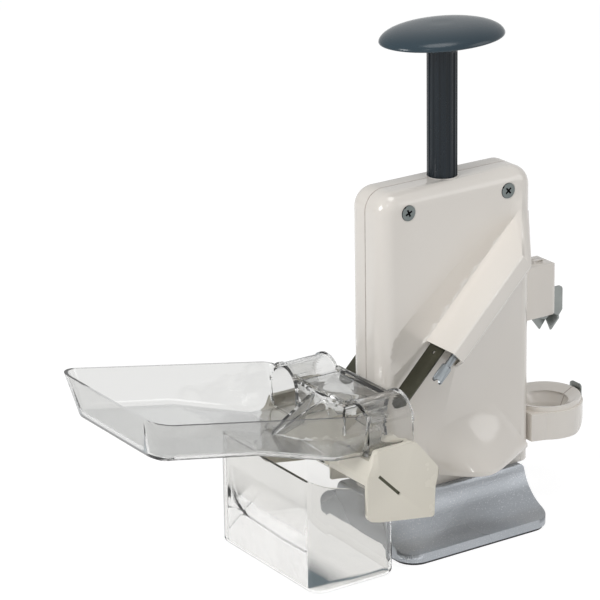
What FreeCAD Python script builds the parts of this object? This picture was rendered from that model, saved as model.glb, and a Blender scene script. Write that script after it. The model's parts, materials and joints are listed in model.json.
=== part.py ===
# Hand-operated double cherry stoner with a plum stoning station on its side.
# X runs along the wide face of the housing, the tray at -X and the plum station at +X.
# Y runs front to back, Z is up, and the origin lies on the table under the plunger.
# Everything on the front face is repeated on the rear face, mirrored in Y.
import FreeCAD, Part
import math
import os

V = FreeCAD.Vector

# Housing, two moulded shells that meet on the middle plane
HOUSING_WIDTH = 107.0
HOUSING_THICKNESS = 33.0
HOUSING_BOTTOM = 30.0
HOUSING_TOP = 211.0
HOUSING_WALL = 2.5
TOP_CORNER_RADIUS = 12.0
FACE_EDGE_RADIUS = 9.0
PARTING_CHAMFER = 0.5

# Plunger
KNOB_TOP = 300.0
KNOB_LENGTH = 78.6
KNOB_WIDTH = 57.6
KNOB_DOME = 9.0
KNOB_RIM = 2.6
KNOB_EDGE_SHARE = 0.985
KNOB_HOLLOW = 2.2
KNOB_HUB_DIAMETER = 25.0
KNOB_HUB_HEIGHT = 6.0
STEM_DIAMETER = 17.4
STEM_FLUTES = 14
FLUTE_DEPTH = 0.7
FLUTE_WIDTH = 2.2
PRESS_STROKE = 47.0
BUSH_WALL = 1.4
BUSH_HEIGHT = 13.0
BUSH_COLLAR = 2.0
BUSH_COLLAR_HEIGHT = 3.0

# Punch line, 45 degrees down towards the tray, in front of the face
PUNCH_OUT = 36.0
MOUTH_X = -18.0
MOUTH_Z = 115.5
ROOF_OVER_PUNCH = 7.0
COVER_DEPTH = 26.0
COVER_FACET = 10.0
COVER_TOE = 24.0
COVER_WALL = 2.2
COVER_ROOT = 2.0
COVER_SIDE_Y = 12.8
COVER_SIDE_INSET = 1.5
COVER_END_INSET = 22.5
COVER_END_RADIUS = 2.0
ROOF_END_INSET = 9.6
ROOF_END_SLANT = 46.0
PUNCH_ROD_DIAMETER = 4.0
PUNCH_TIP_REACH = 17.5
PUNCH_FIN_WIDTH = 7.0
PUNCH_FIN_THICKNESS = 1.6
PUNCH_FIN_LENGTH = 11.0
PUNCH_NOTCH = 2.6
PUNCH_ROD_START = 58.0

# Punch carriage: a body in the cover, a neck through the face slot, a flange behind the face
SLIDER_START = 80.0
NECK_LENGTH = 12.0
NECK_HEIGHT = 7.0
NECK_BELOW_PUNCH = 3.0
FLANGE_MARGIN = 1.5
FLANGE_THICKNESS = 2.2
NECK_CAP = 2.0
SLIDER_BODY_LENGTH = 16.0
SLIDER_BODY_THICKNESS = 9.0
SLIDER_BODY_DROP = 9.0
SLIDER_ARM_LENGTH = 11.0
DRIVE_PIN_DIAMETER = 6.0
DRIVE_PIN_REACH = 6.0

# Shallow dish in the face, left of the cover's roof
DISH_DEPTH = 1.2
DISH_CURVE_RADIUS = 42.0
DISH_START = 95.0
DISH_END = 62.0
DISH_OFFSET = 9.5
DISH_END_LIFT = 0.4

# Press carriage
PRESS_PLATE_LEFT = -20.0
PRESS_PLATE_FROM_SIDE = 8.5
PRESS_PLATE_HEIGHT = 20.0
PRESS_PLATE_THICKNESS = 21.0
CUTTER_LEG_WIDTH = 7.0
CUTTER_LEG_THICKNESS = 8.0
SPRING_WIRE = 1.8
SPRING_MEAN_DIAMETER = 13.0
SPRING_TURNS = 10
SPRING_PARTS_PER_TURN = 2
SPRING_ROD_DIAMETER = 7.0
SPRING_ROD_TOP = 165.0
SPRING_SEAT_HEIGHT = 4.0

# Cherry retaining strip
STRIP_WIDTH = 13.0
STRIP_THICKNESS = 1.0
STRIP_REACH = 42.0
STRIP_HELD = 24.0
STRIP_HOLE = 2.4

# Cherry holder with its seat and the stone stripper
HOLDER_OUT = 54.7
HOLDER_WALL = 2.5
HOLDER_TOP = 79.5
HOLDER_LEFT = -91.0
HOLDER_RIGHT = -41.4
HOLDER_BOTTOM = 31.0
STONE_WAY_TOP = 60.0
BACK_PLATE_LEFT = -70.0
CHERRY_REACH = 51.5
CHERRY_DIAMETER = 25.0
STONE_BORE = 13.0
STRIPPER_REACH = 82.0
STRIPPER_WIDTH = 20.0
STRIPPER_THICKNESS = 1.8
STRIPPER_HOLE = 8.5
STRIPPER_RECESS = 1.0

# Cherry tray
TRAY_LEFT = -225.5
TRAY_WIDTH = 107.0
TRAY_WALL = 2.0
TRAY_RIM_LEFT_Z = 127.4
TRAY_RIM_SLOPE = 10.9
TRAY_CORNER = 14.0
TRAY_END_CORNER = 6.0
TRAY_DRAFT = 0.24
TRAY_BOTTOM_RADIUS = 6.0
TRAY_FLOOR_LEFT_Z = 104.3
TRAY_BEND_X = -156.0
TRAY_BEND_Z = 91.1
TRAY_DIP_X = -106.0
TRAY_DIP_Z = 75.2
TUNNEL_LEFT = -84.0
TUNNEL_RIGHT = -56.0
TUNNEL_CROWN_Z = 104.0
TUNNEL_FLOOR_Z = 73.6
TUNNEL_WIDTH = 27.6
TUNNEL_CORNER = 6.0
TUNNEL_BEAD = 0.8
TUNNEL_BEAD_LENGTH = 1.6
WEDGE_TIP_X = -118.0
WEDGE_TOP_HALF = 7.0
WEDGE_TIP_HALF = 1.2
DECK_Z = 98.0
END_WALL_Z = 100.5

# Stone container
CONTAINER_LEFT = -124.0
CONTAINER_RIGHT = -67.0
CONTAINER_WIDTH = 101.0
CONTAINER_HEIGHT = 67.0
CONTAINER_LOW_RIM = 43.3
CONTAINER_MID_RIM = 59.2
CONTAINER_WALL = 2.0
CONTAINER_CORNER = 10.0
CONTAINER_FOOT_RADIUS = 3.0

# Base
BASE_LEFT_OVERHANG = 6.5
BASE_RIGHT_INSET = 9.0
BASE_DEPTH = 100.0
BASE_TOP_WIDTH = 40.0
BASE_LIP = 5.5
BASE_WALL = 3.0
BASE_CORNER = 13.0
BASE_END_RADIUS = 3.0
FLARE_WAIST_SHARE = 0.22
FLARE_WAIST_HEIGHT = 0.38
EDGE_OVERRUN = 1.0
SOLE_HEIGHT = 1.8
SOLE_WIDTH = 8.0
SOLE_INSET = 1.5

# Apron that leads the stoned cherries forward, a snout with its tip left of the middle
APRON_LEFT = -20.0
APRON_TOP_LEFT = -26.0
APRON_LEFT_Z = 64.0
APRON_RIGHT_INSET = 3.3
APRON_TOP_RIGHT_INSET = 28.2
APRON_RIGHT_Z = 74.0
APRON_TIP_X = 2.8
APRON_TIP_OUT = 27.0
APRON_TIP_SOFTNESS = 8.4
APRON_LIP_Z = 40.0
APRON_LIP_HEIGHT = 2.2
APRON_SWEEP = 1.3
APRON_FAN = 1.6
APRON_ROOT = 1.2
APRON_WALL = 2.4

# Plum station
PLUM_FROM_SIDE = 21.9
CUTTER_END_MARGIN = 1.9
CUTTER_BODY_TOP = 145.0
CUTTER_BODY_BOTTOM = 113.0
CUTTER_BODY_WIDTH = 16.0
CUTTER_CORNER = 3.5
CUTTER_ARM_RISE = 12.0
LATCH_FROM_SIDE = 10.5
LATCH_LENGTH = 7.0
LATCH_WIDTH = 6.0
LATCH_HEIGHT = 1.6
BLADE_HALF_WIDTH = 11.9
BLADE_NECK_HALF = 6.0
BLADE_THICKNESS = 1.2
BLADE_TIP_Z = 102.3
BLADE_SHOULDER_Z = 111.5
BLADE_TOP_Z = 126.4
BLADE_TOP_RADIUS = 2.5
BLADE_TIP_OFFSET = 4.8
BLADE_NOTCH_DROP = 3.0
PLUM_SEAT_TOP = 60.0
PLUM_SEAT_BOTTOM = 40.0
PLUM_SEAT_DIAMETER = 45.2
PLUM_SEAT_FOOT_RUN = 9.0
PLUM_SEAT_END_RISE = 13.0
PLUM_SEAT_ROOT_HALF = 15.5
PLUM_SEAT_BORE = 28.0
PLUM_SEAT_LEDGE = 2.6
PLUM_RING_HEIGHT = 3.0
PLUM_RING_MARGIN = 1.2
CLIP_HEIGHT = 17.4
CLIP_TOP_Z = 62.4
CLIP_WIDTH = 10.0
CLIP_THICKNESS = 1.2
CLIP_HOLE = 3.2

# Fasteners
SHELL_SCREW_FROM_SIDE = 18.7
SHELL_SCREW_Z = 198.8
SHELL_SCREW_HEAD = 10.0
SHELL_SCREW_SHANK = 4.0
BASE_SCREW_SHANK = 4.0
BASE_SCREW_HEAD = 8.0
BASE_SCREW_FROM_SIDE = 23.5
BASE_SCREW_Y = 8.0
SCREW_BITE = 6.0

# Clearances
RUNNING_FIT = 0.08
SLIDE_GAP = 0.4
FREE_GAP = 1.0

# Worked out
HALF_W = HOUSING_WIDTH / 2.0
HALF_T = HOUSING_THICKNESS / 2.0
SHELL_SCREW_X = HALF_W - SHELL_SCREW_FROM_SIDE
BASE_SCREW_X = HALF_W - BASE_SCREW_FROM_SIDE
BASE_LEFT = -HALF_W - BASE_LEFT_OVERHANG
BASE_RIGHT = HALF_W - BASE_RIGHT_INSET
PRESS_PLATE_RIGHT = HALF_W - PRESS_PLATE_FROM_SIDE
PLUM_AXIS_X = HALF_W + PLUM_FROM_SIDE
CUTTER_BODY_RIGHT = PLUM_AXIS_X + CUTTER_END_MARGIN
PUNCH_STROKE = PRESS_STROKE * math.sqrt(2.0)
COVER_OUT = HALF_T + COVER_DEPTH
COVER_LOW = ROOF_OVER_PUNCH - COVER_FACET
STEM_R = STEM_DIAMETER / 2.0
FACE_INNER = HALF_T - HOUSING_WALL


def box(x0, x1, y0, y1, z0, z1):
    return Part.makeBox(x1 - x0, y1 - y0, z1 - z0, V(x0, y0, z0))


def rod(start, direction, radius, length):
    return Part.makeCylinder(radius, length, start, direction)


def joined(shapes):
    whole = shapes[0]
    for piece in shapes[1:]:
        whole = whole.fuse(piece)
    return whole.removeSplitter()


def rounded_wire(points, radii, place):
    """A closed outline through corner points, each corner rounded by its radius."""
    count = len(points)
    starts, ends, middles = [], [], []
    for i in range(count):
        ax, ay = points[i - 1]
        bx, by = points[i]
        cx, cy = points[(i + 1) % count]
        before = math.hypot(ax - bx, ay - by)
        after = math.hypot(cx - bx, cy - by)
        ux, uy = (ax - bx) / before, (ay - by) / before
        wx, wy = (cx - bx) / after, (cy - by) / after
        half = math.acos(max(-1.0, min(1.0, ux * wx + uy * wy))) / 2.0
        run = radii[i] / math.tan(half)
        starts.append((bx + ux * run, by + uy * run))
        ends.append((bx + wx * run, by + wy * run))
        mx, my = ux + wx, uy + wy
        size = math.hypot(mx, my)
        inset = radii[i] / math.sin(half) - radii[i]
        middles.append((bx + mx / size * inset, by + my / size * inset))
    edges = []
    for i in range(count):
        if radii[i] > 0.0:
            edges.append(Part.Arc(place(*starts[i]), place(*middles[i]), place(*ends[i])).toShape())
        here, there = place(*ends[i]), place(*starts[(i + 1) % count])
        if (here - there).Length > 1e-6:
            edges.append(Part.LineSegment(here, there).toShape())
    return Part.Wire(edges)


def side_prism(points, radii, y0, y1):
    """An outline in X and Z, pushed along Y."""
    wire = rounded_wire(points, radii, lambda x, z: V(x, y0, z))
    return Part.Face(wire).extrude(V(0, y1 - y0, 0))


def plan_prism(points, radii, z0, z1):
    """An outline in X and Y, pushed upwards."""
    wire = rounded_wire(points, radii, lambda x, y: V(x, y, z0))
    return Part.Face(wire).extrude(V(0, 0, z1 - z0))


def plan_rectangle(x0, x1, half_y, radius, z):
    corners = [(x0, -half_y), (x1, -half_y), (x1, half_y), (x0, half_y)]
    return rounded_wire(corners, [radius] * 4, lambda x, y: V(x, y, z))


def to_rear(shape):
    return shape.mirror(V(0, 0, 0), V(0, 1, 0))


def on_punch_line(shape):
    """Move a shape from the punch line's own frame to the front of the machine.

    There x runs down the line from the mouth of the cover, y is the distance in front
    of the middle plane, and z is the height over the line, square to it.
    """
    k = math.sqrt(0.5)
    turn = FreeCAD.Matrix(-k, 0, -k, MOUTH_X, 0, -1, 0, 0, -k, 0, k, MOUTH_Z, 0, 0, 0, 1)
    moved = shape.copy()
    moved.Placement = FreeCAD.Placement(turn).multiply(moved.Placement)
    return moved


def line_prism(points, radii, x0, x1):
    """An outline across the punch line (y, z), pushed along it."""
    wire = rounded_wire(points, radii, lambda y, z: V(x0, y, z))
    return Part.Face(wire).extrude(V(x1 - x0, 0, 0))


def front_edges(shape, y, z_above):
    """Edges that lie in the plane y and reach above a height."""
    found = []
    for edge in shape.Edges:
        b = edge.BoundBox
        if abs(b.YMin - y) < 0.01 and abs(b.YMax - y) < 0.01 and b.ZMax > z_above:
            found.append(edge)
    return found


# Housing shells

def housing_block(inset, y_front, radius):
    w = HALF_W - inset
    z0, z1 = HOUSING_BOTTOM + inset, HOUSING_TOP - inset
    corner = TOP_CORNER_RADIUS - inset
    points = [(-w, z0), (w, z0), (w, z1), (-w, z1)]
    block = side_prism(points, [0.0, 0.0, corner, corner], y_front, 0.0)
    return block.makeFillet(radius, front_edges(block, y_front, z0 + 1.0))


def cover_plan(inset):
    """Plan of the punch cover: its side slants in from the side of the housing."""
    side = HALF_W - COVER_SIDE_INSET - inset
    out = -COVER_OUT - 1.0
    points = [(-HALF_W, 0), (side, 0), (side, -COVER_SIDE_Y), (HALF_W - COVER_END_INSET - inset, out),
              (-HALF_W, out)]
    return plan_prism(points, [0.0, 0.0, 0.0, COVER_END_RADIUS, 0.0], HOUSING_BOTTOM, HOUSING_TOP)


def cover_end(inset):
    """What the cover keeps of the punch line: its upper end is cut square to the roof, on a slant."""
    slant = math.tan(math.radians(ROOF_END_SLANT))
    at_face = -(HALF_W - ROOF_END_INSET - MOUTH_X) * math.sqrt(2.0) - ROOF_OVER_PUNCH + inset
    out = COVER_OUT + 1.0
    corners = [V(at_face - HALF_T * slant, 0, 0), V(at_face + (out - HALF_T) * slant, out, 0),
               V(HOLDER_OUT, out, 0), V(HOLDER_OUT, 0, 0)]
    face = Part.Face(Part.makePolygon(corners + corners[:1]))
    face.translate(V(0, 0, -HOUSING_WIDTH))
    return on_punch_line(face.extrude(V(0, 0, 2.0 * HOUSING_WIDTH)))


def cover_outer():
    roof = ROOF_OVER_PUNCH
    inside = HALF_T - COVER_ROOT
    body = line_prism([(inside, roof), (COVER_OUT, roof), (COVER_OUT, COVER_LOW), (inside, -COVER_TOE)],
                      [0.0, 1.5, 4.0, 0.0], -2.0 * HOUSING_WIDTH, 0.0)
    return on_punch_line(body).common(cover_plan(0.0)).common(cover_end(0.0))


def cover_inner():
    roof = ROOF_OVER_PUNCH - COVER_WALL
    out = COVER_OUT - COVER_WALL
    low = COVER_LOW + COVER_WALL * 0.4
    hollow = line_prism([(HALF_T, roof), (out, roof), (out, low), (HALF_T, -COVER_TOE + COVER_WALL * 1.3)],
                        [0.0, 1.0, 3.0, 0.0], -2.0 * HOUSING_WIDTH, 1.0)
    slanted = COVER_WALL * 1.4
    return on_punch_line(hollow).common(cover_plan(slanted)).common(cover_end(slanted))


def face_dish():
    """Shallow hollow along the roof: a thin lens turned round an axis in front of the face."""
    start = V(-DISH_START, 0, 0)
    end = V(DISH_END, 0, 0)
    middle = V((DISH_END - DISH_START) / 2.0, DISH_CURVE_RADIUS + DISH_DEPTH, 0)
    low_start = V(-DISH_START, DISH_CURVE_RADIUS - DISH_END_LIFT, 0)
    low_end = V(DISH_END, DISH_CURVE_RADIUS - DISH_END_LIFT, 0)
    edges = [Part.LineSegment(start, low_start).toShape(), Part.Arc(low_start, middle, low_end).toShape(),
             Part.LineSegment(low_end, end).toShape(), Part.LineSegment(end, start).toShape()]
    lens = Part.Face(Part.Wire(edges)).revolve(start, V(1, 0, 0), 360)
    lens.translate(V(DISH_START, 0, 0))
    lens.rotate(V(0, 0, 0), V(0, 1, 0), -math.degrees(math.atan2(DISH_OFFSET, DISH_START)))
    lens.translate(V(-DISH_START, HALF_T + DISH_CURVE_RADIUS, ROOF_OVER_PUNCH))
    return on_punch_line(lens)


def face_slot():
    gap = SLIDE_GAP
    z_mid = -NECK_BELOW_PUNCH
    half = NECK_HEIGHT / 2.0 + gap
    x0 = -SLIDER_START - gap
    x1 = -SLIDER_START + NECK_LENGTH + PUNCH_STROKE + gap
    slot = Part.makeBox(x1 - x0, HOUSING_WALL * 3, half * 2, V(x0, FACE_INNER - 2, z_mid - half))
    return on_punch_line(slot)


def lip_depth(x, left, right, out):
    """Depth of the lip in front of the face: two straight runs that meet softly at the tip."""
    soft = APRON_TIP_SOFTNESS
    rise = (x - left) * out / (APRON_TIP_X - left)
    fall = (right - x) * out / (right - APRON_TIP_X)
    return -soft * math.log(math.exp(-rise / soft) + math.exp(-fall / soft))


def apron_wire(share, inset, drop):
    """Closed outline of the apron; share runs from 0 at its root on the face to 1 at the lip."""
    left, right = APRON_LEFT + inset, HALF_W - APRON_RIGHT_INSET - 2.0 * inset
    top_left, top_right = APRON_TOP_LEFT + inset, HALF_W - APRON_TOP_RIGHT_INSET - 2.0 * inset
    face, back = -HALF_T + 0.15, -HALF_T + APRON_ROOT
    count = 8
    points = []
    for i in range(count + 1):
        t = i / count
        fan = 1.0 - (1.0 - t) ** APRON_FAN
        x_lip = left + (right - left) * t
        x_top = top_left + (top_right - top_left) * fan
        z_top = APRON_LEFT_Z + (APRON_RIGHT_Z - APRON_LEFT_Z) * fan
        depth = lip_depth(x_lip, left, right, APRON_TIP_OUT - 1.3 * inset)
        points.append(V(x_top + (x_lip - x_top) * share, face - depth * share ** APRON_SWEEP,
                        z_top + (APRON_LIP_Z - z_top) * share - drop))
    curve = Part.BSplineCurve()
    curve.interpolate(points)
    first, last = points[0], points[-1]
    corners = [last, V(last.x, back, last.z), V(first.x, back, first.z), first]
    sides = [Part.LineSegment(p, q).toShape() for p, q in zip(corners, corners[1:])]
    return Part.Wire([curve.toShape()] + sides)


def apron_form(inset, drop):
    wires = [apron_wire(share, inset, drop) for share in (0.0, 0.25, 0.6, 1.0)]
    lip = Part.Face(wires[-1]).extrude(V(0, 0, -APRON_LIP_HEIGHT))
    return Part.makeLoft(wires, True, False).fuse(lip)


def apron():
    return apron_form(0.0, 0.0).cut(apron_form(APRON_WALL, APRON_WALL * 0.9))


def parted(shell):
    """Small bevel on the outer edges where the two shells meet."""
    edges = []
    for edge in shell.Edges:
        b = edge.BoundBox
        outer = b.XMin < -HALF_W + 0.1 or b.XMax > HALF_W - 0.1 or b.ZMax > HOUSING_TOP - 0.1
        if abs(b.YMin) < 0.01 and abs(b.YMax) < 0.01 and outer:
            edges.append(edge)
    return shell.makeChamfer(PARTING_CHAMFER, edges) if edges else shell


def plain_shell():
    """The front half of the housing without its screw holes."""
    outer = housing_block(0.0, -HALF_T, FACE_EDGE_RADIUS)
    inner = housing_block(HOUSING_WALL, -FACE_INNER, FACE_EDGE_RADIUS - HOUSING_WALL)
    shell = parted(outer.cut(inner)).cut(face_dish())
    lower_inside = box(-HALF_W, HALF_W, -FACE_INNER, 0, HOUSING_BOTTOM, HOUSING_TOP)
    whole = shell.fuse(cover_outer().cut(lower_inside)).fuse(apron())
    whole = whole.cut(cover_inner())
    whole = whole.cut(face_slot())
    bush_hole = rod(V(0, 0, HOUSING_TOP - BUSH_HEIGHT), V(0, 0, 1), STEM_R + BUSH_WALL, BUSH_HEIGHT + 1)
    cutter_gap = SLIDE_GAP + CUTTER_LEG_THICKNESS / 2.0
    cutter_slot = box(HALF_W - HOUSING_WALL - 1, HALF_W + 1, -cutter_gap, cutter_gap,
                      CUTTER_BODY_BOTTOM + CUTTER_ARM_RISE - PRESS_STROKE - SLIDE_GAP, CUTTER_BODY_TOP - 2)
    whole = whole.cut(bush_hole).cut(cutter_slot)
    for x in (-BASE_SCREW_X, BASE_SCREW_X):
        up = V(x, -BASE_SCREW_Y, HOUSING_BOTTOM)
        boss = rod(up, V(0, 0, 1), BASE_SCREW_SHANK, HOUSING_WALL + SCREW_BITE + 2.0)
        whole = whole.fuse(boss).cut(rod(up, V(0, 0, 1), BASE_SCREW_SHANK / 2.0, HOUSING_WALL + SCREW_BITE))
    return whole.removeSplitter()


def front_shell():
    shell = plain_shell()
    for x in (-SHELL_SCREW_X, SHELL_SCREW_X):
        head = Part.makeCone(SHELL_SCREW_HEAD / 2.0 + 0.15, SHELL_SCREW_SHANK / 2.0 + 0.15, 3.0,
                             V(x, -HALF_T, SHELL_SCREW_Z), V(0, 1, 0))
        boss = rod(V(x, -FACE_INNER - 0.5, SHELL_SCREW_Z), V(0, 1, 0), SHELL_SCREW_SHANK, FACE_INNER + 0.5)
        bore = rod(V(x, -HALF_T, SHELL_SCREW_Z), V(0, 1, 0), SHELL_SCREW_SHANK / 2.0 + 0.1, HALF_T)
        shell = shell.fuse(boss).cut(head).cut(bore)
    return shell.removeSplitter()


def rear_shell():
    shell = to_rear(plain_shell())
    for x in (-SHELL_SCREW_X, SHELL_SCREW_X):
        boss = rod(V(x, 0, SHELL_SCREW_Z), V(0, 1, 0), SHELL_SCREW_SHANK, FACE_INNER + 0.5)
        bore = rod(V(x, 0, SHELL_SCREW_Z), V(0, 1, 0), SHELL_SCREW_SHANK / 2.0, FACE_INNER - 2)
        shell = shell.fuse(boss).cut(bore)
    return shell.removeSplitter()


def housing_screws():
    screws = []
    for x in (-SHELL_SCREW_X, SHELL_SCREW_X):
        head = Part.makeCone(SHELL_SCREW_HEAD / 2.0, SHELL_SCREW_SHANK / 2.0, 2.9,
                             V(x, -HALF_T + 0.1, SHELL_SCREW_Z), V(0, 1, 0))
        shank = rod(V(x, -HALF_T + 2.5, SHELL_SCREW_Z), V(0, 1, 0), SHELL_SCREW_SHANK / 2.0, HALF_T + 7.0)
        recess = box(x - 2.2, x + 2.2, -HALF_T, -HALF_T + 1.5, SHELL_SCREW_Z - 0.5, SHELL_SCREW_Z + 0.5)
        recess = recess.fuse(box(x - 0.5, x + 0.5, -HALF_T, -HALF_T + 1.5, SHELL_SCREW_Z - 2.2, SHELL_SCREW_Z + 2.2))
        screws.append(head.fuse(shank).removeSplitter().cut(recess))
    return Part.makeCompound(screws)


# Plunger

def knob_ring(share, z):
    """Oval ring of the knob, as a share of its full size."""
    oval = Part.Ellipse(V(0, 0, z), KNOB_LENGTH / 2.0 * share, KNOB_WIDTH / 2.0 * share)
    return Part.Wire([oval.toShape()])


def press_knob():
    """Oval domed knob with a thin rim and a hub for the stem."""
    half = KNOB_LENGTH / 2.0
    rim_z = KNOB_TOP - KNOB_DOME
    under = rim_z - KNOB_RIM
    dome_r = (half ** 2 + KNOB_DOME ** 2) / (2.0 * KNOB_DOME)
    edge = KNOB_EDGE_SHARE

    def dome_z(share):
        return KNOB_TOP - dome_r + math.sqrt(dome_r ** 2 - (half * share) ** 2)

    dome = Part.makeLoft([knob_ring(share, dome_z(share)) for share in (0.03, 0.3, 0.55, 0.8, edge)], True, False)
    ceiling = under + KNOB_HOLLOW
    rings = [(edge, dome_z(edge)), (0.997, rim_z + 0.15), (1.0, rim_z - 0.6), (0.993, rim_z - 1.5),
             (0.965, under + 0.4), (0.45, ceiling)]
    rim = Part.makeLoft([knob_ring(share, z) for share, z in rings], True, True)
    hub_z = ceiling - KNOB_HUB_HEIGHT
    hub = Part.makeCone(STEM_R + 1.6, KNOB_HUB_DIAMETER / 2.0, KNOB_HUB_HEIGHT + 0.6, V(0, 0, hub_z))
    socket = rod(V(0, 0, hub_z - 1), V(0, 0, 1), STEM_R + 0.02, KNOB_HUB_HEIGHT)
    screw_hole = rod(V(0, 0, hub_z), V(0, 0, 1), 2.0, KNOB_HUB_HEIGHT + 3.0)
    return dome.fuse(rim).fuse(hub).removeSplitter().cut(socket).cut(screw_hole)


def stem_top():
    return KNOB_TOP - KNOB_DOME - KNOB_RIM + KNOB_HOLLOW - 1.0


def drive_pin_rest():
    """Rest place of a drive pin's axis, as X and Z."""
    along = -SLIDER_START + NECK_LENGTH / 2.0
    k = math.sqrt(0.5)
    x = MOUTH_X - along * k + NECK_BELOW_PUNCH * k
    z = MOUTH_Z - along * k - NECK_BELOW_PUNCH * k
    return x, z


PIN_X, PIN_Z = drive_pin_rest()
PLATE_TOP = PIN_Z + PRESS_PLATE_HEIGHT / 2.0
PLATE_BOTTOM = PIN_Z - PRESS_PLATE_HEIGHT / 2.0


def press_stem():
    bottom = PLATE_TOP
    stem = rod(V(0, 0, bottom), V(0, 0, 1), STEM_R, stem_top() - bottom)
    for i in range(STEM_FLUTES):
        a = 2.0 * math.pi * i / STEM_FLUTES
        groove = box(STEM_R - FLUTE_DEPTH, STEM_R + 1, -FLUTE_WIDTH / 2.0, FLUTE_WIDTH / 2.0,
                     bottom + 6, stem_top() - KNOB_HUB_HEIGHT)
        groove.rotate(V(0, 0, 0), V(0, 0, 1), math.degrees(a))
        stem = stem.cut(groove)
    bore = rod(V(0, 0, bottom - 1), V(0, 0, 1), SPRING_ROD_DIAMETER / 2.0 + SLIDE_GAP, 60)
    screw_bore = rod(V(0, 0, stem_top() - 16), V(0, 0, 1), 1.7, 17)
    return stem.cut(bore).cut(screw_bore)


def knob_screw():
    top = stem_top()
    head = rod(V(0, 0, top), V(0, 0, 1), 2.0, 1.5)
    return rod(V(0, 0, top - 14), V(0, 0, 1), 1.7, 14).fuse(head).removeSplitter()


def stem_bush():
    """Bush held between the shells, its top flush with the rounded top of the housing."""
    bottom = HOUSING_TOP - BUSH_HEIGHT
    outer = rod(V(0, 0, bottom), V(0, 0, 1), STEM_R + BUSH_WALL, BUSH_HEIGHT + 1)
    front = housing_block(0.0, -HALF_T, FACE_EDGE_RADIUS)
    outer = outer.common(front.fuse(to_rear(front)))
    collar = rod(V(0, 0, bottom), V(0, 0, 1), STEM_R + BUSH_WALL + BUSH_COLLAR, BUSH_COLLAR_HEIGHT)
    bore = rod(V(0, 0, bottom - 1), V(0, 0, 1), STEM_R + RUNNING_FIT, BUSH_HEIGHT + 3)
    return joined([outer, collar]).cut(bore)


def press_carriage():
    half = PRESS_PLATE_THICKNESS / 2.0
    plate = box(PRESS_PLATE_LEFT, PRESS_PLATE_RIGHT, -half, half, PLATE_BOTTOM, PLATE_TOP)
    r = DRIVE_PIN_DIAMETER / 2.0 + RUNNING_FIT
    slot = box(PIN_X - PRESS_STROKE - r - SLIDE_GAP, PIN_X + r + SLIDE_GAP, -half - 1, half + 1,
               PIN_Z - r, PIN_Z + r)
    bore = rod(V(0, 0, PLATE_BOTTOM - 1), V(0, 0, 1), SPRING_ROD_DIAMETER / 2.0 + SLIDE_GAP,
               PRESS_PLATE_HEIGHT + 2)
    leg_half = CUTTER_LEG_THICKNESS / 2.0
    leg = box(PRESS_PLATE_RIGHT - CUTTER_LEG_WIDTH, PRESS_PLATE_RIGHT, -leg_half, leg_half,
              CUTTER_BODY_BOTTOM + CUTTER_ARM_RISE, PLATE_BOTTOM)
    arm = box(PRESS_PLATE_RIGHT - 1, HALF_W + FREE_GAP, -leg_half, leg_half,
              CUTTER_BODY_BOTTOM + CUTTER_ARM_RISE, CUTTER_BODY_TOP - 5)
    return joined([plate, leg, arm]).cut(slot).cut(bore)


def spring_guide():
    floor = HOUSING_BOTTOM + HOUSING_WALL
    seat = rod(V(0, 0, floor), V(0, 0, 1), SPRING_MEAN_DIAMETER / 2.0 + SPRING_WIRE, SPRING_SEAT_HEIGHT)
    guide = rod(V(0, 0, floor), V(0, 0, 1), SPRING_ROD_DIAMETER / 2.0, SPRING_ROD_TOP - floor)
    return seat.fuse(guide).removeSplitter()


def biarc(p0, t0, p1, t1):
    """Two arcs that leave p0 along t0 and reach p1 along t1, meeting smoothly."""
    v = p1 - p0
    t = t0 + t1
    a = 4.0 - t.dot(t)
    b = 2.0 * v.dot(t)
    c = -v.dot(v)
    d = (-b + math.sqrt(b * b - 4.0 * a * c)) / (2.0 * a)
    joint = (p0 + p1 + (t0 - t1) * d) * 0.5
    arcs = []
    for start, corner, end in ((p0, p0 + t0 * d, joint), (joint, p1 - t1 * d, p1)):
        leg, chord = (corner - start).Length, (end - start).Length
        w = chord / (2.0 * leg)
        middle = (start + corner * (2.0 * w) + end) * (1.0 / (2.0 + 2.0 * w))
        arcs.append(Part.Arc(start, middle, end).toShape())
    return arcs


def return_spring():
    """One unbroken wire: rising quarter turns, each made of two arcs, swept as a pipe shell."""
    r = SPRING_MEAN_DIAMETER / 2.0
    wire_r = SPRING_WIRE / 2.0
    z0 = HOUSING_BOTTOM + HOUSING_WALL + SPRING_SEAT_HEIGHT + wire_r + 0.05
    z1 = PLATE_BOTTOM - wire_r - 0.05
    pitch = (z1 - z0) / SPRING_TURNS
    slope = math.hypot(2.0 * math.pi * r, pitch)
    parts = SPRING_TURNS * SPRING_PARTS_PER_TURN

    def at(i):
        a = 2.0 * math.pi * i / SPRING_PARTS_PER_TURN
        place = V(r * math.cos(a), r * math.sin(a), z0 + (z1 - z0) * i / parts)
        run = 2.0 * math.pi * r / slope
        return place, V(-math.sin(a) * run, math.cos(a) * run, pitch / slope)

    arcs = []
    for i in range(parts):
        (p0, t0), (p1, t1) = at(i), at(i + 1)
        arcs += biarc(p0, t0, p1, t1)
    start, along = at(0)
    profile = Part.Wire([Part.Circle(start, along, wire_r).toShape()])
    print("spring gap between turns", round(pitch * 2.0 * math.pi * r / slope - SPRING_WIRE, 2))
    return Part.Wire(arcs).makePipeShell([profile], True, False)


# Punches

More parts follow.
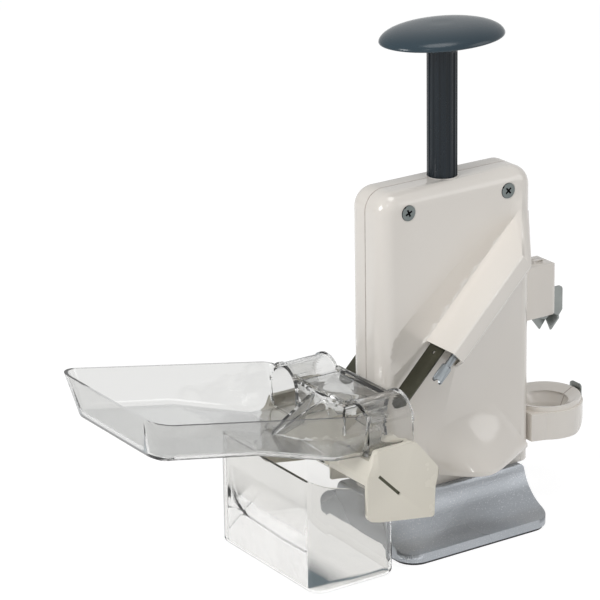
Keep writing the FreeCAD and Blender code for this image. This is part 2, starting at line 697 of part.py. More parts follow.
def punch_slider():
    """Moulded slider of the front punch: flange and neck in the face slot, body and rod arm outside."""
    gap = SLIDE_GAP
    start = -SLIDER_START
    z_mid = -NECK_BELOW_PUNCH
    half = NECK_HEIGHT / 2.0
    m = FLANGE_MARGIN
    face_y = HALF_T + gap
    flange = Part.makeBox(NECK_LENGTH + 2 * m, FLANGE_THICKNESS, NECK_HEIGHT + 2 * m,
                          V(start - m, FACE_INNER - gap - FLANGE_THICKNESS, z_mid - half - m))
    neck = Part.makeBox(NECK_LENGTH, face_y + NECK_CAP - FACE_INNER + 1.0, NECK_HEIGHT,
                        V(start, FACE_INNER - 1.0, z_mid - half))
    cap = Part.makeBox(NECK_LENGTH + 4.0, NECK_CAP, NECK_HEIGHT, V(start, face_y, z_mid - half))
    top = ROOF_OVER_PUNCH - COVER_WALL - STRIP_THICKNESS - 2 * gap
    body_start = start + NECK_LENGTH + 2.0
    body = Part.makeBox(SLIDER_BODY_LENGTH, SLIDER_BODY_THICKNESS, top + SLIDER_BODY_DROP,
                        V(body_start, face_y, -SLIDER_BODY_DROP))
    arm_y = face_y + SLIDER_BODY_THICKNESS - 1.0
    arm_out = COVER_OUT - COVER_WALL - 1.7
    arm = line_prism([(arm_y, -5.0), (PUNCH_OUT - 3.0, -5.0), (arm_out, -2.0), (arm_out, top), (arm_y, top)],
                     [0.0, 0.0, 0.0, 1.0, 0.0], -PUNCH_ROD_START, -PUNCH_ROD_START + SLIDER_ARM_LENGTH)
    whole = joined([neck, flange, cap, body, arm])
    bore = rod(V(-PUNCH_ROD_START + 2.0, PUNCH_OUT, 0), V(1, 0, 0), PUNCH_ROD_DIAMETER / 2.0, 20)
    pin_bore = rod(V(start + NECK_LENGTH / 2.0, 0, z_mid), V(0, 1, 0), DRIVE_PIN_DIAMETER / 2.0,
                   face_y + NECK_CAP - 0.6)
    return on_punch_line(whole.cut(bore).cut(pin_bore))


def drive_pin():
    along = -SLIDER_START + NECK_LENGTH / 2.0
    end = HALF_T + SLIDE_GAP + NECK_CAP - 0.6
    pin = rod(V(along, DRIVE_PIN_REACH, -NECK_BELOW_PUNCH), V(0, 1, 0), DRIVE_PIN_DIAMETER / 2.0,
              end - DRIVE_PIN_REACH)
    return on_punch_line(pin)


def punch():
    """Steel rod with a cross-shaped head and a notched tip."""
    r = PUNCH_ROD_DIAMETER / 2.0
    shank_end = PUNCH_TIP_REACH - PUNCH_NOTCH
    shank = rod(V(-PUNCH_ROD_START + 2.0, PUNCH_OUT, 0), V(1, 0, 0), r, shank_end + PUNCH_ROD_START - 2.0)
    w, t = PUNCH_FIN_WIDTH / 2.0, PUNCH_FIN_THICKNESS / 2.0
    x0 = PUNCH_TIP_REACH - PUNCH_FIN_LENGTH
    shank = shank.common(Part.makeBox(PUNCH_ROD_START + x0, 8, 8, V(-PUNCH_ROD_START, PUNCH_OUT - 4, -4)))
    points = [(x0, w - 0.8), (x0 + 0.8, w), (PUNCH_TIP_REACH - 1.0, w), (PUNCH_TIP_REACH, w - 0.6),
              (PUNCH_TIP_REACH - PUNCH_NOTCH, 0), (PUNCH_TIP_REACH, -w + 0.6), (PUNCH_TIP_REACH - 1.0, -w),
              (x0 + 0.8, -w), (x0, -w + 0.8)]
    flat = Part.Face(Part.makePolygon([V(x, PUNCH_OUT - t, z) for x, z in points + points[:1]]))
    flat = flat.extrude(V(0, 2 * t, 0))
    cross = flat.copy()
    cross.rotate(V(0, PUNCH_OUT, 0), V(1, 0, 0), 90)
    return on_punch_line(joined([shank, flat, cross]))


def retaining_strip():
    """Flat steel finger under the cover's roof, its rounded end over the cherry seat."""
    y0 = HALF_T + 1.6
    y1 = y0 + STRIP_WIDTH
    top = ROOF_OVER_PUNCH - COVER_WALL
    z = top - STRIP_THICKNESS
    tip = STRIP_WIDTH / 2.0
    points = [(-STRIP_HELD, y0), (STRIP_REACH, y0), (STRIP_REACH, y1), (-STRIP_HELD, y1)]
    wire = rounded_wire(points, [0.0, tip - 0.3, tip - 0.3, 0.0], lambda x, y: V(x, y, z))
    strip = Part.Face(wire).extrude(V(0, 0, STRIP_THICKNESS))
    hole = rod(V(3.5, y0 + tip, z - 1), V(0, 0, 1), STRIP_HOLE / 2.0, 4)
    return on_punch_line(strip.cut(hole))


# Cherry holder

def holder_outline(margin):
    left, right, top, low = HOLDER_LEFT + margin, HOLDER_RIGHT - margin, HOLDER_TOP - margin, HOLDER_BOTTOM + margin
    points = [(left + 6.5, top), (right - 16.4, top), (right, top - 20), (right - 3.0, top - 30),
              (right - 3.8, low), (left + 8.0, low + 5.8), (left, low + 8.0), (left, top - 15.0)]
    radii = [2.0, 4.0, 5.0, 5.0, 1.5, 5.0, 5.0, 7.0]
    return points, radii


def cherry_holder():
    """Cream moulding in front of the face: front plate, back plate, seat block and stone bore."""
    points, radii = holder_outline(0.0)
    outer = side_prism(points, radii, -HOLDER_OUT, -HALF_T)
    wall = HOLDER_WALL
    inner_points, inner_radii = holder_outline(wall)
    inner_radii = [max(0.5, r - wall) for r in inner_radii]
    inner = side_prism(inner_points, inner_radii, -HOLDER_OUT + wall, -HALF_T - wall)
    shell = outer.cut(inner)
    # Open below and on the tray side, where the stones leave
    mouth = box(HOLDER_LEFT - 1, HOLDER_RIGHT - 14, -HOLDER_OUT + wall, -HALF_T - wall,
                HOLDER_BOTTOM - 1, HOLDER_BOTTOM + 12)
    side = box(HOLDER_LEFT - 1, HOLDER_LEFT + 7.5, -HOLDER_OUT + wall, -HALF_T - wall,
               HOLDER_BOTTOM - 1, STONE_WAY_TOP)
    behind = box(HOLDER_LEFT - 1, BACK_PLATE_LEFT, -HALF_T - wall - 0.1, 0, HOLDER_BOTTOM - 1, STONE_WAY_TOP)
    shell = shell.cut(mouth).cut(side).cut(behind)
    # Seat block round the punch line
    seat_start = CHERRY_REACH - 2.0
    block = Part.makeBox(STRIPPER_REACH + 4.0 - seat_start, HOLDER_OUT - HALF_T - 2.0, 26.0,
                         V(seat_start, HALF_T + 1.0, -13.0))
    block = on_punch_line(block).common(outer)
    whole = joined([shell, block])
    bore = on_punch_line(rod(V(seat_start - 5, PUNCH_OUT, 0), V(1, 0, 0), STONE_BORE / 2.0, 60))
    cup = on_punch_line(Part.makeSphere(CHERRY_DIAMETER / 2.0, V(CHERRY_REACH, PUNCH_OUT, 0)))
    half_tunnel = TUNNEL_WIDTH / 2.0 + FREE_GAP
    trough = box(HOLDER_LEFT - 1, HOLDER_RIGHT, -PUNCH_OUT - half_tunnel, 0,
                 TUNNEL_FLOOR_Z - SLIDE_GAP, HOLDER_TOP + 5)
    container_room = box(HOLDER_LEFT - 1, CONTAINER_RIGHT + FREE_GAP, -HOLDER_OUT + wall, 0,
                         0, CONTAINER_LOW_RIM + FREE_GAP)
    plate_slot = Part.makeBox(STRIPPER_THICKNESS, HOLDER_OUT, STRIPPER_WIDTH,
                              V(STRIPPER_REACH - STRIPPER_THICKNESS / 2.0, HALF_T + 4.0, -STRIPPER_WIDTH / 2.0))
    whole = whole.cut(bore).cut(cup).cut(trough).cut(container_room)
    return whole.cut(on_punch_line(plate_slot)).removeSplitter()


def stone_stripper():
    """Steel plate across the stone bore, its edge a little behind the holder's front."""
    plate = Part.makeBox(STRIPPER_THICKNESS, HOLDER_OUT - HALF_T - 4.0 - STRIPPER_RECESS, STRIPPER_WIDTH,
                         V(STRIPPER_REACH - STRIPPER_THICKNESS / 2.0, HALF_T + 4.0, -STRIPPER_WIDTH / 2.0))
    hole = rod(V(STRIPPER_REACH - 5, PUNCH_OUT, 0), V(1, 0, 0), STRIPPER_HOLE / 2.0, 10)
    return on_punch_line(plate.cut(hole))


# Cherry tray

def rim_z(x):
    return TRAY_RIM_LEFT_Z - (x - TRAY_LEFT) * math.tan(math.radians(TRAY_RIM_SLOPE))


def tray_plan(depth, inset):
    """Rounded plan of the basin in a plane parallel to its rim; the walls draw in with the depth."""
    drawn = inset + depth * TRAY_DRAFT
    half = TRAY_WIDTH / 2.0 - drawn
    x0, x1 = TRAY_LEFT + drawn, TUNNEL_LEFT - inset
    corner, end = TRAY_CORNER - inset, TRAY_END_CORNER - inset
    return rounded_wire([(x0, -half), (x1, -half), (x1, half), (x0, half)], [corner, end, end, corner],
                        lambda x, y: V(x, y, rim_z(x) - depth))


def tray_floor(x):
    """Height of the basin's underside at a place along it."""
    places = [(TRAY_LEFT, TRAY_FLOOR_LEFT_Z), (TRAY_BEND_X, TRAY_BEND_Z), (TRAY_DIP_X, TRAY_DIP_Z),
              (TUNNEL_LEFT, TUNNEL_FLOOR_Z)]
    for (xa, za), (xb, zb) in zip(places, places[1:]):
        if x <= xb or xb == TUNNEL_LEFT:
            return za + (zb - za) * (x - xa) / (xb - xa)
    return TUNNEL_FLOOR_Z


def tray_trough(inset):
    """The basin lengthwise: rounded bottom corners, the floor falling in three straight runs."""
    sections = []
    radius = TRAY_BOTTOM_RADIUS - inset
    for x in (TRAY_LEFT - 1.0, TRAY_BEND_X, TRAY_DIP_X, TUNNEL_LEFT + 1.0):
        low, high = tray_floor(x) + inset, rim_z(x) + 5.0
        top_half = TRAY_WIDTH / 2.0 + 5.0 * TRAY_DRAFT - inset
        low_half = TRAY_WIDTH / 2.0 - (rim_z(x) - low) * TRAY_DRAFT - inset - 0.3
        points = [(-low_half, low), (low_half, low), (top_half, high), (-top_half, high)]
        sections.append(rounded_wire(points, [radius, radius, 0.0, 0.0], lambda y, z, x=x: V(x, y, z)))
    return Part.makeLoft(sections, True, True)


def tray_basin(inset):
    deepest = TRAY_RIM_LEFT_Z - TUNNEL_FLOOR_Z
    plan = Part.makeLoft([tray_plan(deepest, inset), tray_plan(0.0, inset)], True, True)
    return plan.common(tray_trough(inset))


def divider(inset):
    """Raised wedge that parts the cherries: from a tip on the floor up to the deck between the tunnels."""
    low_half = PUNCH_OUT - TUNNEL_WIDTH / 2.0 - inset
    top = DECK_Z - inset
    tip_low, tip_top = tray_floor(WEDGE_TIP_X) - inset, tray_floor(WEDGE_TIP_X) + TRAY_WALL * 1.5 - inset
    tip_half = WEDGE_TIP_HALF - 0.5 * inset
    top_half = WEDGE_TOP_HALF - inset
    tip = Part.makePolygon([V(WEDGE_TIP_X, y, z) for y, z in
                            [(-tip_half, tip_low), (tip_half, tip_low), (tip_half, tip_top),
                             (-tip_half, tip_top), (-tip_half, tip_low)]])
    foot = TUNNEL_FLOOR_Z - inset
    back = Part.makePolygon([V(TUNNEL_LEFT, y, z) for y, z in
                             [(-low_half, foot), (low_half, foot), (top_half, top), (-top_half, top),
                              (-low_half, foot)]])
    return Part.makeLoft([tip, back], True, True)


def tunnel(y_mid, inset, x0, x1):
    r = TUNNEL_WIDTH / 2.0 - inset
    spring = TUNNEL_CROWN_Z - TUNNEL_WIDTH / 2.0
    floor = TUNNEL_FLOOR_Z + inset
    left, right = V(x0, y_mid - r, spring), V(x0, y_mid + r, spring)
    arch = Part.Arc(left, V(x0, y_mid, spring + r), right).toShape()
    c = TUNNEL_CORNER
    low_r, low_l = V(x0, y_mid + r, floor + c), V(x0, y_mid - r, floor + c)
    foot_r, foot_l = V(x0, y_mid + r - c, floor), V(x0, y_mid - r + c, floor)
    k = c * (1 - math.sqrt(0.5))
    corner_r = Part.Arc(low_r, V(x0, y_mid + r - k, floor + k), foot_r).toShape()
    corner_l = Part.Arc(foot_l, V(x0, y_mid - r + k, floor + k), low_l).toShape()
    edges = [arch, Part.LineSegment(right, low_r).toShape(), corner_r,
             Part.LineSegment(foot_r, foot_l).toShape(), corner_l,
             Part.LineSegment(low_l, left).toShape()]
    return Part.Face(Part.Wire(edges)).extrude(V(x1 - x0, 0, 0))


def cherry_tray():
    wall = TRAY_WALL
    inner_half = PUNCH_OUT - TUNNEL_WIDTH / 2.0
    wedge_back = box(TUNNEL_LEFT - 0.5, TUNNEL_RIGHT, -PUNCH_OUT, PUNCH_OUT, DECK_Z - wall, DECK_Z)
    end_wall = box(TUNNEL_RIGHT - wall, TUNNEL_RIGHT, -inner_half - wall, inner_half + wall,
                   TUNNEL_FLOOR_Z, END_WALL_Z)
    basin = tray_basin(0.0).cut(tray_basin(wall))
    whole = joined([basin, divider(0.0), wedge_back, end_wall])
    whole = whole.cut(divider(wall))
    bead = TUNNEL_BEAD
    for side in (-1, 1):
        y = side * PUNCH_OUT
        pipe = tunnel(y, 0.0, TUNNEL_LEFT - wall, TUNNEL_RIGHT)
        near = tunnel(y, -bead, TUNNEL_LEFT - wall, TUNNEL_LEFT - wall + TUNNEL_BEAD_LENGTH)
        far = tunnel(y, -bead, TUNNEL_RIGHT - TUNNEL_BEAD_LENGTH, TUNNEL_RIGHT)
        over = box(TUNNEL_LEFT - wall - 1, TUNNEL_RIGHT + 1, y - TUNNEL_WIDTH, y + TUNNEL_WIDTH,
                   TUNNEL_CROWN_Z - TUNNEL_WIDTH / 2.0, TUNNEL_CROWN_Z + 2 * bead)
        whole = whole.fuse(pipe).fuse(near.fuse(far).common(over))
    for side in (-1, 1):
        y = side * PUNCH_OUT
        cup = Part.makeSphere(CHERRY_DIAMETER / 2.0 + FREE_GAP,
                              V(MOUTH_X - CHERRY_REACH * math.sqrt(0.5), y, MOUTH_Z - CHERRY_REACH * math.sqrt(0.5)))
        whole = whole.cut(tunnel(y, wall, TUNNEL_LEFT - 2 * wall, TUNNEL_RIGHT + 1.0)).cut(cup)
    return whole.removeSplitter()


# Stone container

def stone_container():
    half = CONTAINER_WIDTH / 2.0
    wall = CONTAINER_WALL
    outer = plan_prism([(CONTAINER_LEFT, -half), (CONTAINER_RIGHT, -half), (CONTAINER_RIGHT, half),
                        (CONTAINER_LEFT, half)], [CONTAINER_CORNER] * 4, 0.0, CONTAINER_HEIGHT)
    inner = plan_prism([(CONTAINER_LEFT + wall, -half + wall), (CONTAINER_RIGHT - wall, -half + wall),
                        (CONTAINER_RIGHT - wall, half - wall), (CONTAINER_LEFT + wall, half - wall)],
                       [CONTAINER_CORNER - wall] * 4, wall, CONTAINER_HEIGHT + 1)
    edges = [e for e in outer.Edges if e.BoundBox.ZMax < 0.01]
    outer = outer.makeFillet(CONTAINER_FOOT_RADIUS, edges)
    tub = outer.cut(inner)
    left, right, above = CONTAINER_LEFT, CONTAINER_RIGHT, CONTAINER_HEIGHT + 5
    mid, low = CONTAINER_MID_RIM, CONTAINER_LOW_RIM
    points = [(left, above), (left + 2.5, CONTAINER_HEIGHT - 0.2), (left + 11.1, mid + 4.1), (left + 25.7, mid),
              (left + 32.1, mid - 5.3), (left + 40.5, low), (right + 5, low), (right + 5, above)]
    dip = side_prism(points, [0.0, 2.0, 8.0, 6.0, 10.0, 7.0, 0.0, 0.0], -half - 1, half + 1)
    return tub.cut(dip)


# Base

def base_profile(half_foot, half_top, z_low, lip, top):
    """Bell outline in Y and Z: a plateau, then a concave flare that runs past the foot's edge."""
    span = half_foot + EDGE_OVERRUN - half_top
    end = half_foot + EDGE_OVERRUN
    waist_y = half_top + span * FLARE_WAIST_SHARE
    waist_z = lip + (top - lip) * FLARE_WAIST_HEIGHT
    line = Part.LineSegment
    flare_left = Part.Arc(V(0, -half_top, top), V(0, -waist_y, waist_z), V(0, -end, lip)).toShape()
    flare_right = Part.Arc(V(0, end, lip), V(0, waist_y, waist_z), V(0, half_top, top)).toShape()
    edges = [flare_left, line(V(0, -end, lip), V(0, -end, z_low)).toShape(),
             line(V(0, -end, z_low), V(0, end, z_low)).toShape(),
             line(V(0, end, z_low), V(0, end, lip)).toShape(), flare_right,
             line(V(0, half_top, top), V(0, -half_top, top)).toShape()]
    return Part.Face(Part.Wire(edges))


def end_arcs(bell, x, lip):
    """The curved edges and the plateau's edge at one end of the bell."""
    found = []
    for edge in bell.Edges:
        b = edge.BoundBox
        if abs(b.XMin - x) < 0.01 and abs(b.XMax - x) < 0.01 and b.ZMin > lip - 0.01:
            found.append(edge)
    return found


def base_form(inset, z_low):
    """The foot's outer form, or with an inset its hollow: the bell outline trimmed by the plan."""
    half = BASE_DEPTH / 2.0 - inset
    x0, x1 = BASE_LEFT + inset, BASE_RIGHT - inset
    top = HOUSING_BOTTOM - inset
    lip = SOLE_HEIGHT + BASE_LIP - inset
    bell = base_profile(half, BASE_TOP_WIDTH / 2.0 - inset, z_low, lip, top)
    bell = bell.extrude(V(x1 - x0, 0, 0))
    bell.translate(V(x0, 0, 0))
    if inset == 0.0:
        bell = bell.makeFillet(BASE_END_RADIUS, end_arcs(bell, x0, lip) + end_arcs(bell, x1, lip))
    plan = Part.Face(plan_rectangle(x0 - 0.01, x1 + 0.01, half, BASE_CORNER - inset, z_low - 1))
    return bell.common(plan.extrude(V(0, 0, top + 2)))


def screw_places():
    """Plan places of the four screws that hold the housing to the base."""
    return [(x, y) for x in (-BASE_SCREW_X, BASE_SCREW_X) for y in (-BASE_SCREW_Y, BASE_SCREW_Y)]


def base():
    shell = base_form(0.0, SOLE_HEIGHT).cut(base_form(BASE_WALL, 0.0))
    for x, y in screw_places():
        hole = rod(V(x, y, HOUSING_BOTTOM - BASE_WALL - 1), V(0, 0, 1), BASE_SCREW_SHANK / 2.0 + 0.1, BASE_WALL + 2)
        shell = shell.cut(hole)
    return shell


def anti_slip_ring():
    half = BASE_DEPTH / 2.0 - SOLE_INSET
    x0, x1 = BASE_LEFT + SOLE_INSET, BASE_RIGHT - SOLE_INSET
    radius = BASE_CORNER - SOLE_INSET
    outer = Part.Face(plan_rectangle(x0, x1, half, radius, 0)).extrude(V(0, 0, SOLE_HEIGHT))
    w = SOLE_WIDTH
    inner = Part.Face(plan_rectangle(x0 + w, x1 - w, half - w, 2.0, -1)).extrude(V(0, 0, SOLE_HEIGHT + 2))
    return outer.cut(inner)


def base_screws():
    screws = []
    under = HOUSING_BOTTOM - BASE_WALL
    for x, y in screw_places():
        head = rod(V(x, y, under - 2.4), V(0, 0, 1), BASE_SCREW_HEAD / 2.0, 2.4)
        shank = rod(V(x, y, under), V(0, 0, 1), BASE_SCREW_SHANK / 2.0, BASE_WALL + HOUSING_WALL + SCREW_BITE)
        screws.append(head.fuse(shank).removeSplitter())
    return Part.makeCompound(screws)


# Plum station

def plum_cutter_body():
    """Block on the press carriage's arm, soft at its corners, slotted for the blades."""
    half = CUTTER_BODY_WIDTH / 2.0
    left, right = HALF_W + FREE_GAP, CUTTER_BODY_RIGHT
    low, top = CUTTER_BODY_BOTTOM, CUTTER_BODY_TOP
    r = CUTTER_CORNER
    body = side_prism([(left, low), (right, low), (right, top), (left, top)], [0.0, r, r, 0.0], -half, half)
    plan = plan_prism([(left, -half), (right, -half), (right, half), (left, half)], [1.0, r, r, 1.0],
                      low - 1, top + 1)
    body = body.common(plan)
    latch_x = HALF_W + LATCH_FROM_SIDE
    latch = box(latch_x, latch_x + LATCH_LENGTH, -LATCH_WIDTH / 2.0, LATCH_WIDTH / 2.0, top - 1, top + LATCH_HEIGHT)
    groove = box(latch_x + 1.0, latch_x + LATCH_LENGTH - 1.0, -LATCH_WIDTH / 2.0 - 1, -LATCH_WIDTH / 2.0 + 0.8,
                 top + 0.3, top + LATCH_HEIGHT - 0.4)
    body = body.fuse(latch).cut(groove)
    t = BLADE_THICKNESS / 2.0
    w = BLADE_HALF_WIDTH
    neck = BLADE_NECK_HALF
    slot_x = box(PLUM_AXIS_X - w, right + 1, -t, t, low - 1, BLADE_TOP_Z)
    slot_y = box(PLUM_AXIS_X - t, PLUM_AXIS_X + t, -neck, neck, low - 1, BLADE_TOP_Z)
    return body.cut(slot_x).cut(slot_y)


def blade(points, radii):
    t = BLADE_THICKNESS / 2.0
    return side_prism(points, radii, -t, t)


def plum_blades():
    """Two crossed steel blades, each with a pair of pointed teeth."""
    w = BLADE_HALF_WIDTH
    d = BLADE_TIP_OFFSET
    neck = BLADE_NECK_HALF
    top, shoulder, tip = BLADE_TOP_Z, BLADE_SHOULDER_Z, BLADE_TIP_Z
    under = CUTTER_BODY_BOTTOM
    teeth = [(-w, shoulder), (-d, tip), (0, shoulder - BLADE_NOTCH_DROP), (d, tip), (w, shoulder)]
    long_blade = blade(teeth + [(w, top), (-w, top)], [0.0] * 5 + [BLADE_TOP_RADIUS, 0.0])
    cross = blade(teeth + [(w, under), (neck, under), (neck, top), (-neck, top), (-neck, under), (-w, under)],
                  [0.0] * 11)
    cross.rotate(V(0, 0, 0), V(0, 0, 1), 90)
    blades = long_blade.fuse(cross).removeSplitter()
    blades.translate(V(PLUM_AXIS_X, 0, 0))
    return blades


def plum_seat():
    """Bowl on an arm from the side of the housing, bored for the stone, with a pad for the clip."""
    r = PLUM_SEAT_DIAMETER / 2.0
    top, low = PLUM_SEAT_TOP - PLUM_RING_HEIGHT, PLUM_SEAT_BOTTOM
    x = PLUM_AXIS_X
    start, root, end = HALF_W - 1.0, PLUM_SEAT_ROOT_HALF, x + r + 1.0
    outline = [(start, low), (x + PLUM_SEAT_FOOT_RUN, low), (end, low + PLUM_SEAT_END_RISE), (end, top),
               (start, top)]
    block = side_prism(outline, [0.0, 12.0, 2.0, 0.0, 0.0], -r - 1, r + 1)
    arm = plan_prism([(start, -root), (x, -r), (x, r), (start, root)], [0.0] * 4, low - 1, top + 1)
    plan = arm.fuse(rod(V(x, 0, low - 1), V(0, 0, 1), r, top - low + 2))
    bowl = block.common(plan)
    clip_half = CLIP_WIDTH / 2.0
    pad = box(x + r - 8.0, x + r, -clip_half, clip_half, top - 8.0, top)
    whole = joined([bowl, pad])
    ledge = PLUM_SEAT_BORE / 2.0 - PLUM_SEAT_LEDGE
    bore = rod(V(x, 0, low - 1), V(0, 0, 1), ledge, top - low + 2)
    funnel = Part.makeCone(ledge, PLUM_SEAT_BORE / 2.0 + 1.0, 8.0, V(x, 0, top - 8.0))
    rivet = rod(V(x + r - 5.0, 0, top - 4.0), V(1, 0, 0), CLIP_HOLE / 2.0, 10.0)
    beyond = box(0, HALF_W, -r, r, low - 1, top + 1)
    return whole.cut(bore).cut(funnel).cut(rivet).cut(beyond)


def plum_seat_ring():
    """Ring that the plum rests on."""
    r = PLUM_SEAT_DIAMETER / 2.0 - PLUM_RING_MARGIN
    z = PLUM_SEAT_TOP - PLUM_RING_HEIGHT
    ring = rod(V(PLUM_AXIS_X, 0, z), V(0, 0, 1), r, PLUM_RING_HEIGHT)
    cup = Part.makeCone(PLUM_SEAT_BORE / 2.0, r - 1.5, PLUM_RING_HEIGHT, V(PLUM_AXIS_X, 0, z))
    return ring.cut(cup)


def plum_seat_clip():
    """Steel plate riveted to the end of the plum seat, with a hole near its foot."""
    x = PLUM_AXIS_X + PLUM_SEAT_DIAMETER / 2.0
    half = CLIP_WIDTH / 2.0
    top = CLIP_TOP_Z
    plate_points = [(-half, top - CLIP_HEIGHT), (half, top - CLIP_HEIGHT), (half, top), (-half, top)]
    wire = rounded_wire(plate_points, [2.0] * 4, lambda y, z: V(x, y, z))
    plate = Part.Face(wire).extrude(V(CLIP_THICKNESS, 0, 0))
    hole = rod(V(x - 1, 0, top - CLIP_HEIGHT + 4.0), V(1, 0, 0), CLIP_HOLE / 2.0, CLIP_THICKNESS + 2)
    rivet_z = PLUM_SEAT_TOP - PLUM_RING_HEIGHT - 4.0
    pin = rod(V(x - 5.0, 0, rivet_z), V(1, 0, 0), CLIP_HOLE / 2.0, 5.0 + CLIP_THICKNESS)
    head = rod(V(x + CLIP_THICKNESS, 0, rivet_z), V(1, 0, 0), CLIP_HOLE * 0.8, 0.8)
    return joined([plate, pin, head]).cut(hole)


def write(name, shape):
    solids = len(shape.Solids)
    print(f"{name:24s} solids {solids} volume {shape.Volume / 1000.0:8.2f} cm3 valid {shape.isValid()}")
    shape.exportStep(f"parts/{name}.step")


def main():
    os.makedirs("parts", exist_ok=True)
    write("base", base())
    write("anti_slip_ring", anti_slip_ring())
    write("base_screws", base_screws())
    write("front_shell", front_shell())
    write("rear_shell", rear_shell())
    write("housing_screws", housing_screws())
    write("stem_bush", stem_bush())
    write("press_knob", press_knob())
    write("press_stem", press_stem())
    write("knob_screw", knob_screw())
    write("press_carriage", press_carriage())
    write("spring_guide", spring_guide())
    write("return_spring", return_spring())
    for side, turn in (("front", lambda s: s), ("rear", to_rear)):
        write(side + "_punch_slider", turn(punch_slider()))
        write(side + "_drive_pin", turn(drive_pin()))
        write(side + "_punch", turn(punch()))
        write(side + "_retaining_strip", turn(retaining_strip()))
        write(side + "_cherry_holder", turn(cherry_holder()))
        write(side + "_stone_stripper", turn(stone_stripper()))
    write("cherry_tray", cherry_tray())
    write("stone_container", stone_container())
    write("plum_cutter_body", plum_cutter_body())
    write("plum_blades", plum_blades())
    write("plum_seat", plum_seat())
    write("plum_seat_ring", plum_seat_ring())
    write("plum_seat_clip", plum_seat_clip())


main()
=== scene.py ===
# %% [markdown]
# # A push-down cherry and plum stoner
#
# The solids of this kitchen tool come from a CAD model that is already packed. This lesson dresses
# them: it gives each moulding, wire and blade the finish of the real thing, adds the fine forms
# that a CAD model leaves out, and sets up a plain table with soft light. Everything is in metres
# and in the frame of the CAD model, so a piece goes straight to where the solids say it is.

# %% Load the solids
import json
import math

import bmesh
import bpy
from mathutils import Matrix, Vector


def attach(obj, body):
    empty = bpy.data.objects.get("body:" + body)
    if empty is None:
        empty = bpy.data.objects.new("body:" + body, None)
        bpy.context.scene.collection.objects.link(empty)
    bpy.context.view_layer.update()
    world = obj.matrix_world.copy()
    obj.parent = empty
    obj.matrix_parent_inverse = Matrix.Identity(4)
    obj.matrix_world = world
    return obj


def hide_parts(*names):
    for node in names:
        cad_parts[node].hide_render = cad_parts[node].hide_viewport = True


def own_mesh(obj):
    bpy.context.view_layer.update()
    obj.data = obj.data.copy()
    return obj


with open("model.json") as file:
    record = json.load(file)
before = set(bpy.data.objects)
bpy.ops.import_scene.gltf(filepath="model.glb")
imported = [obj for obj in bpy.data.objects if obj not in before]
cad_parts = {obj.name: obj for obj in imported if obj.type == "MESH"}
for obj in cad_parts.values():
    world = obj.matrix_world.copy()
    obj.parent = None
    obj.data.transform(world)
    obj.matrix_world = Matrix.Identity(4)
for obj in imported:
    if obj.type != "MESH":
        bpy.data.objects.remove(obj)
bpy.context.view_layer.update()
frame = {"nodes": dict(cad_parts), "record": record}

nodes = frame["nodes"]
bpy.ops.object.select_all(action="DESELECT")

# %% [markdown]
# ## Writing shader maths as sums
#
# Blender's shader nodes can be wired one by one, but a sum of three terms then takes ten lines. A
# small class that wraps one socket and understands + - * lets a finish be written as it would be
# explained. Plain numbers stay plain numbers, and a node is only added where a value changes over
# the surface.

# %% A socket that can be used in sums
NOISE_MIDDLE = 0.5    # Blender's noise runs from 0 to 1


class Wire:
    """One output socket of a node tree."""

    def __init__(self, plan, socket):
        self.plan = plan
        self.socket = socket

    def maths(self, kind, first, second):
        return self.plan.node("ShaderNodeMath", {"operation": kind}, {0: first, 1: second})

    def __add__(self, other):
        return self.maths("ADD", self, other)

    def __radd__(self, other):
        return self.maths("ADD", other, self)

    def __sub__(self, other):
        return self.maths("SUBTRACT", self, other)

    def __rsub__(self, other):
        return self.maths("SUBTRACT", other, self)

    def __mul__(self, other):
        return self.maths("MULTIPLY", self, other)

    def __rmul__(self, other):
        return self.maths("MULTIPLY", other, self)

    def swing(self, reach):
        """Noise, which runs about its middle, as a swing about zero."""
        return (self - NOISE_MIDDLE) * reach


print("a noise's middle is taken as", NOISE_MIDDLE)

# %% [markdown]
# ## A node tree that takes sums
#
# A finish, the table and the room each have a node tree. One class adds any node to such a tree,
# and gives names to the few kinds of step that come back again and again. The inputs of Blender's
# Map Range and Mix nodes share names, so those are counted from nought instead.

# %% The tree of nodes
MIX_FIRST, MIX_SECOND, MIX_RESULT = 6, 7, 2


class Plan:
    """A node tree, and the kinds of step that any of them may use."""

    def __init__(self, tree):
        self.tree = tree

    def feed(self, socket, value):
        """Lead a wire into a socket, or set the socket to a plain value."""
        if isinstance(value, Wire):
            self.tree.links.new(value.socket, socket)
        else:
            socket.default_value = value

    def node(self, kind, settings, sockets, output=0):
        """Add a node: its settings first, then the values or wires of its sockets."""
        made = self.tree.nodes.new(kind)
        for key, value in settings.items():
            setattr(made, key, value)
        for key, value in sockets.items():
            self.feed(made.inputs[key], value)
        return Wire(self, made.outputs[output])

    def step(self, value, low, high, out_low=0.0, out_high=1.0):
        """Stretch a value from one range to another, held at both ends."""
        return self.node("ShaderNodeMapRange", {"clamp": True},
                         {"Value": value, 1: low, 2: high, 3: out_low, 4: out_high})

    def most(self, first, second):
        """The larger of two values."""
        return self.node("ShaderNodeMath", {"operation": "MAXIMUM"}, {0: first, 1: second})

    def ray(self, kind):
        """One for a ray of this kind, such as Camera or Glossy, and zero for all others."""
        return self.node("ShaderNodeLightPath", {}, {}, f"Is {kind} Ray")


print("a mix of colours comes out of output", MIX_RESULT)

# %% The tree of one finish, and colours as a screen shows them
EVEN = (1.0, 1.0, 1.0)
# The curve by which a screen turns its numbers into light
SCREEN_TOP = 255.0
SCREEN_DARK, SCREEN_DARK_SLOPE = 0.04045, 12.92
SCREEN_LIFT, SCREEN_POWER = 0.055, 2.4


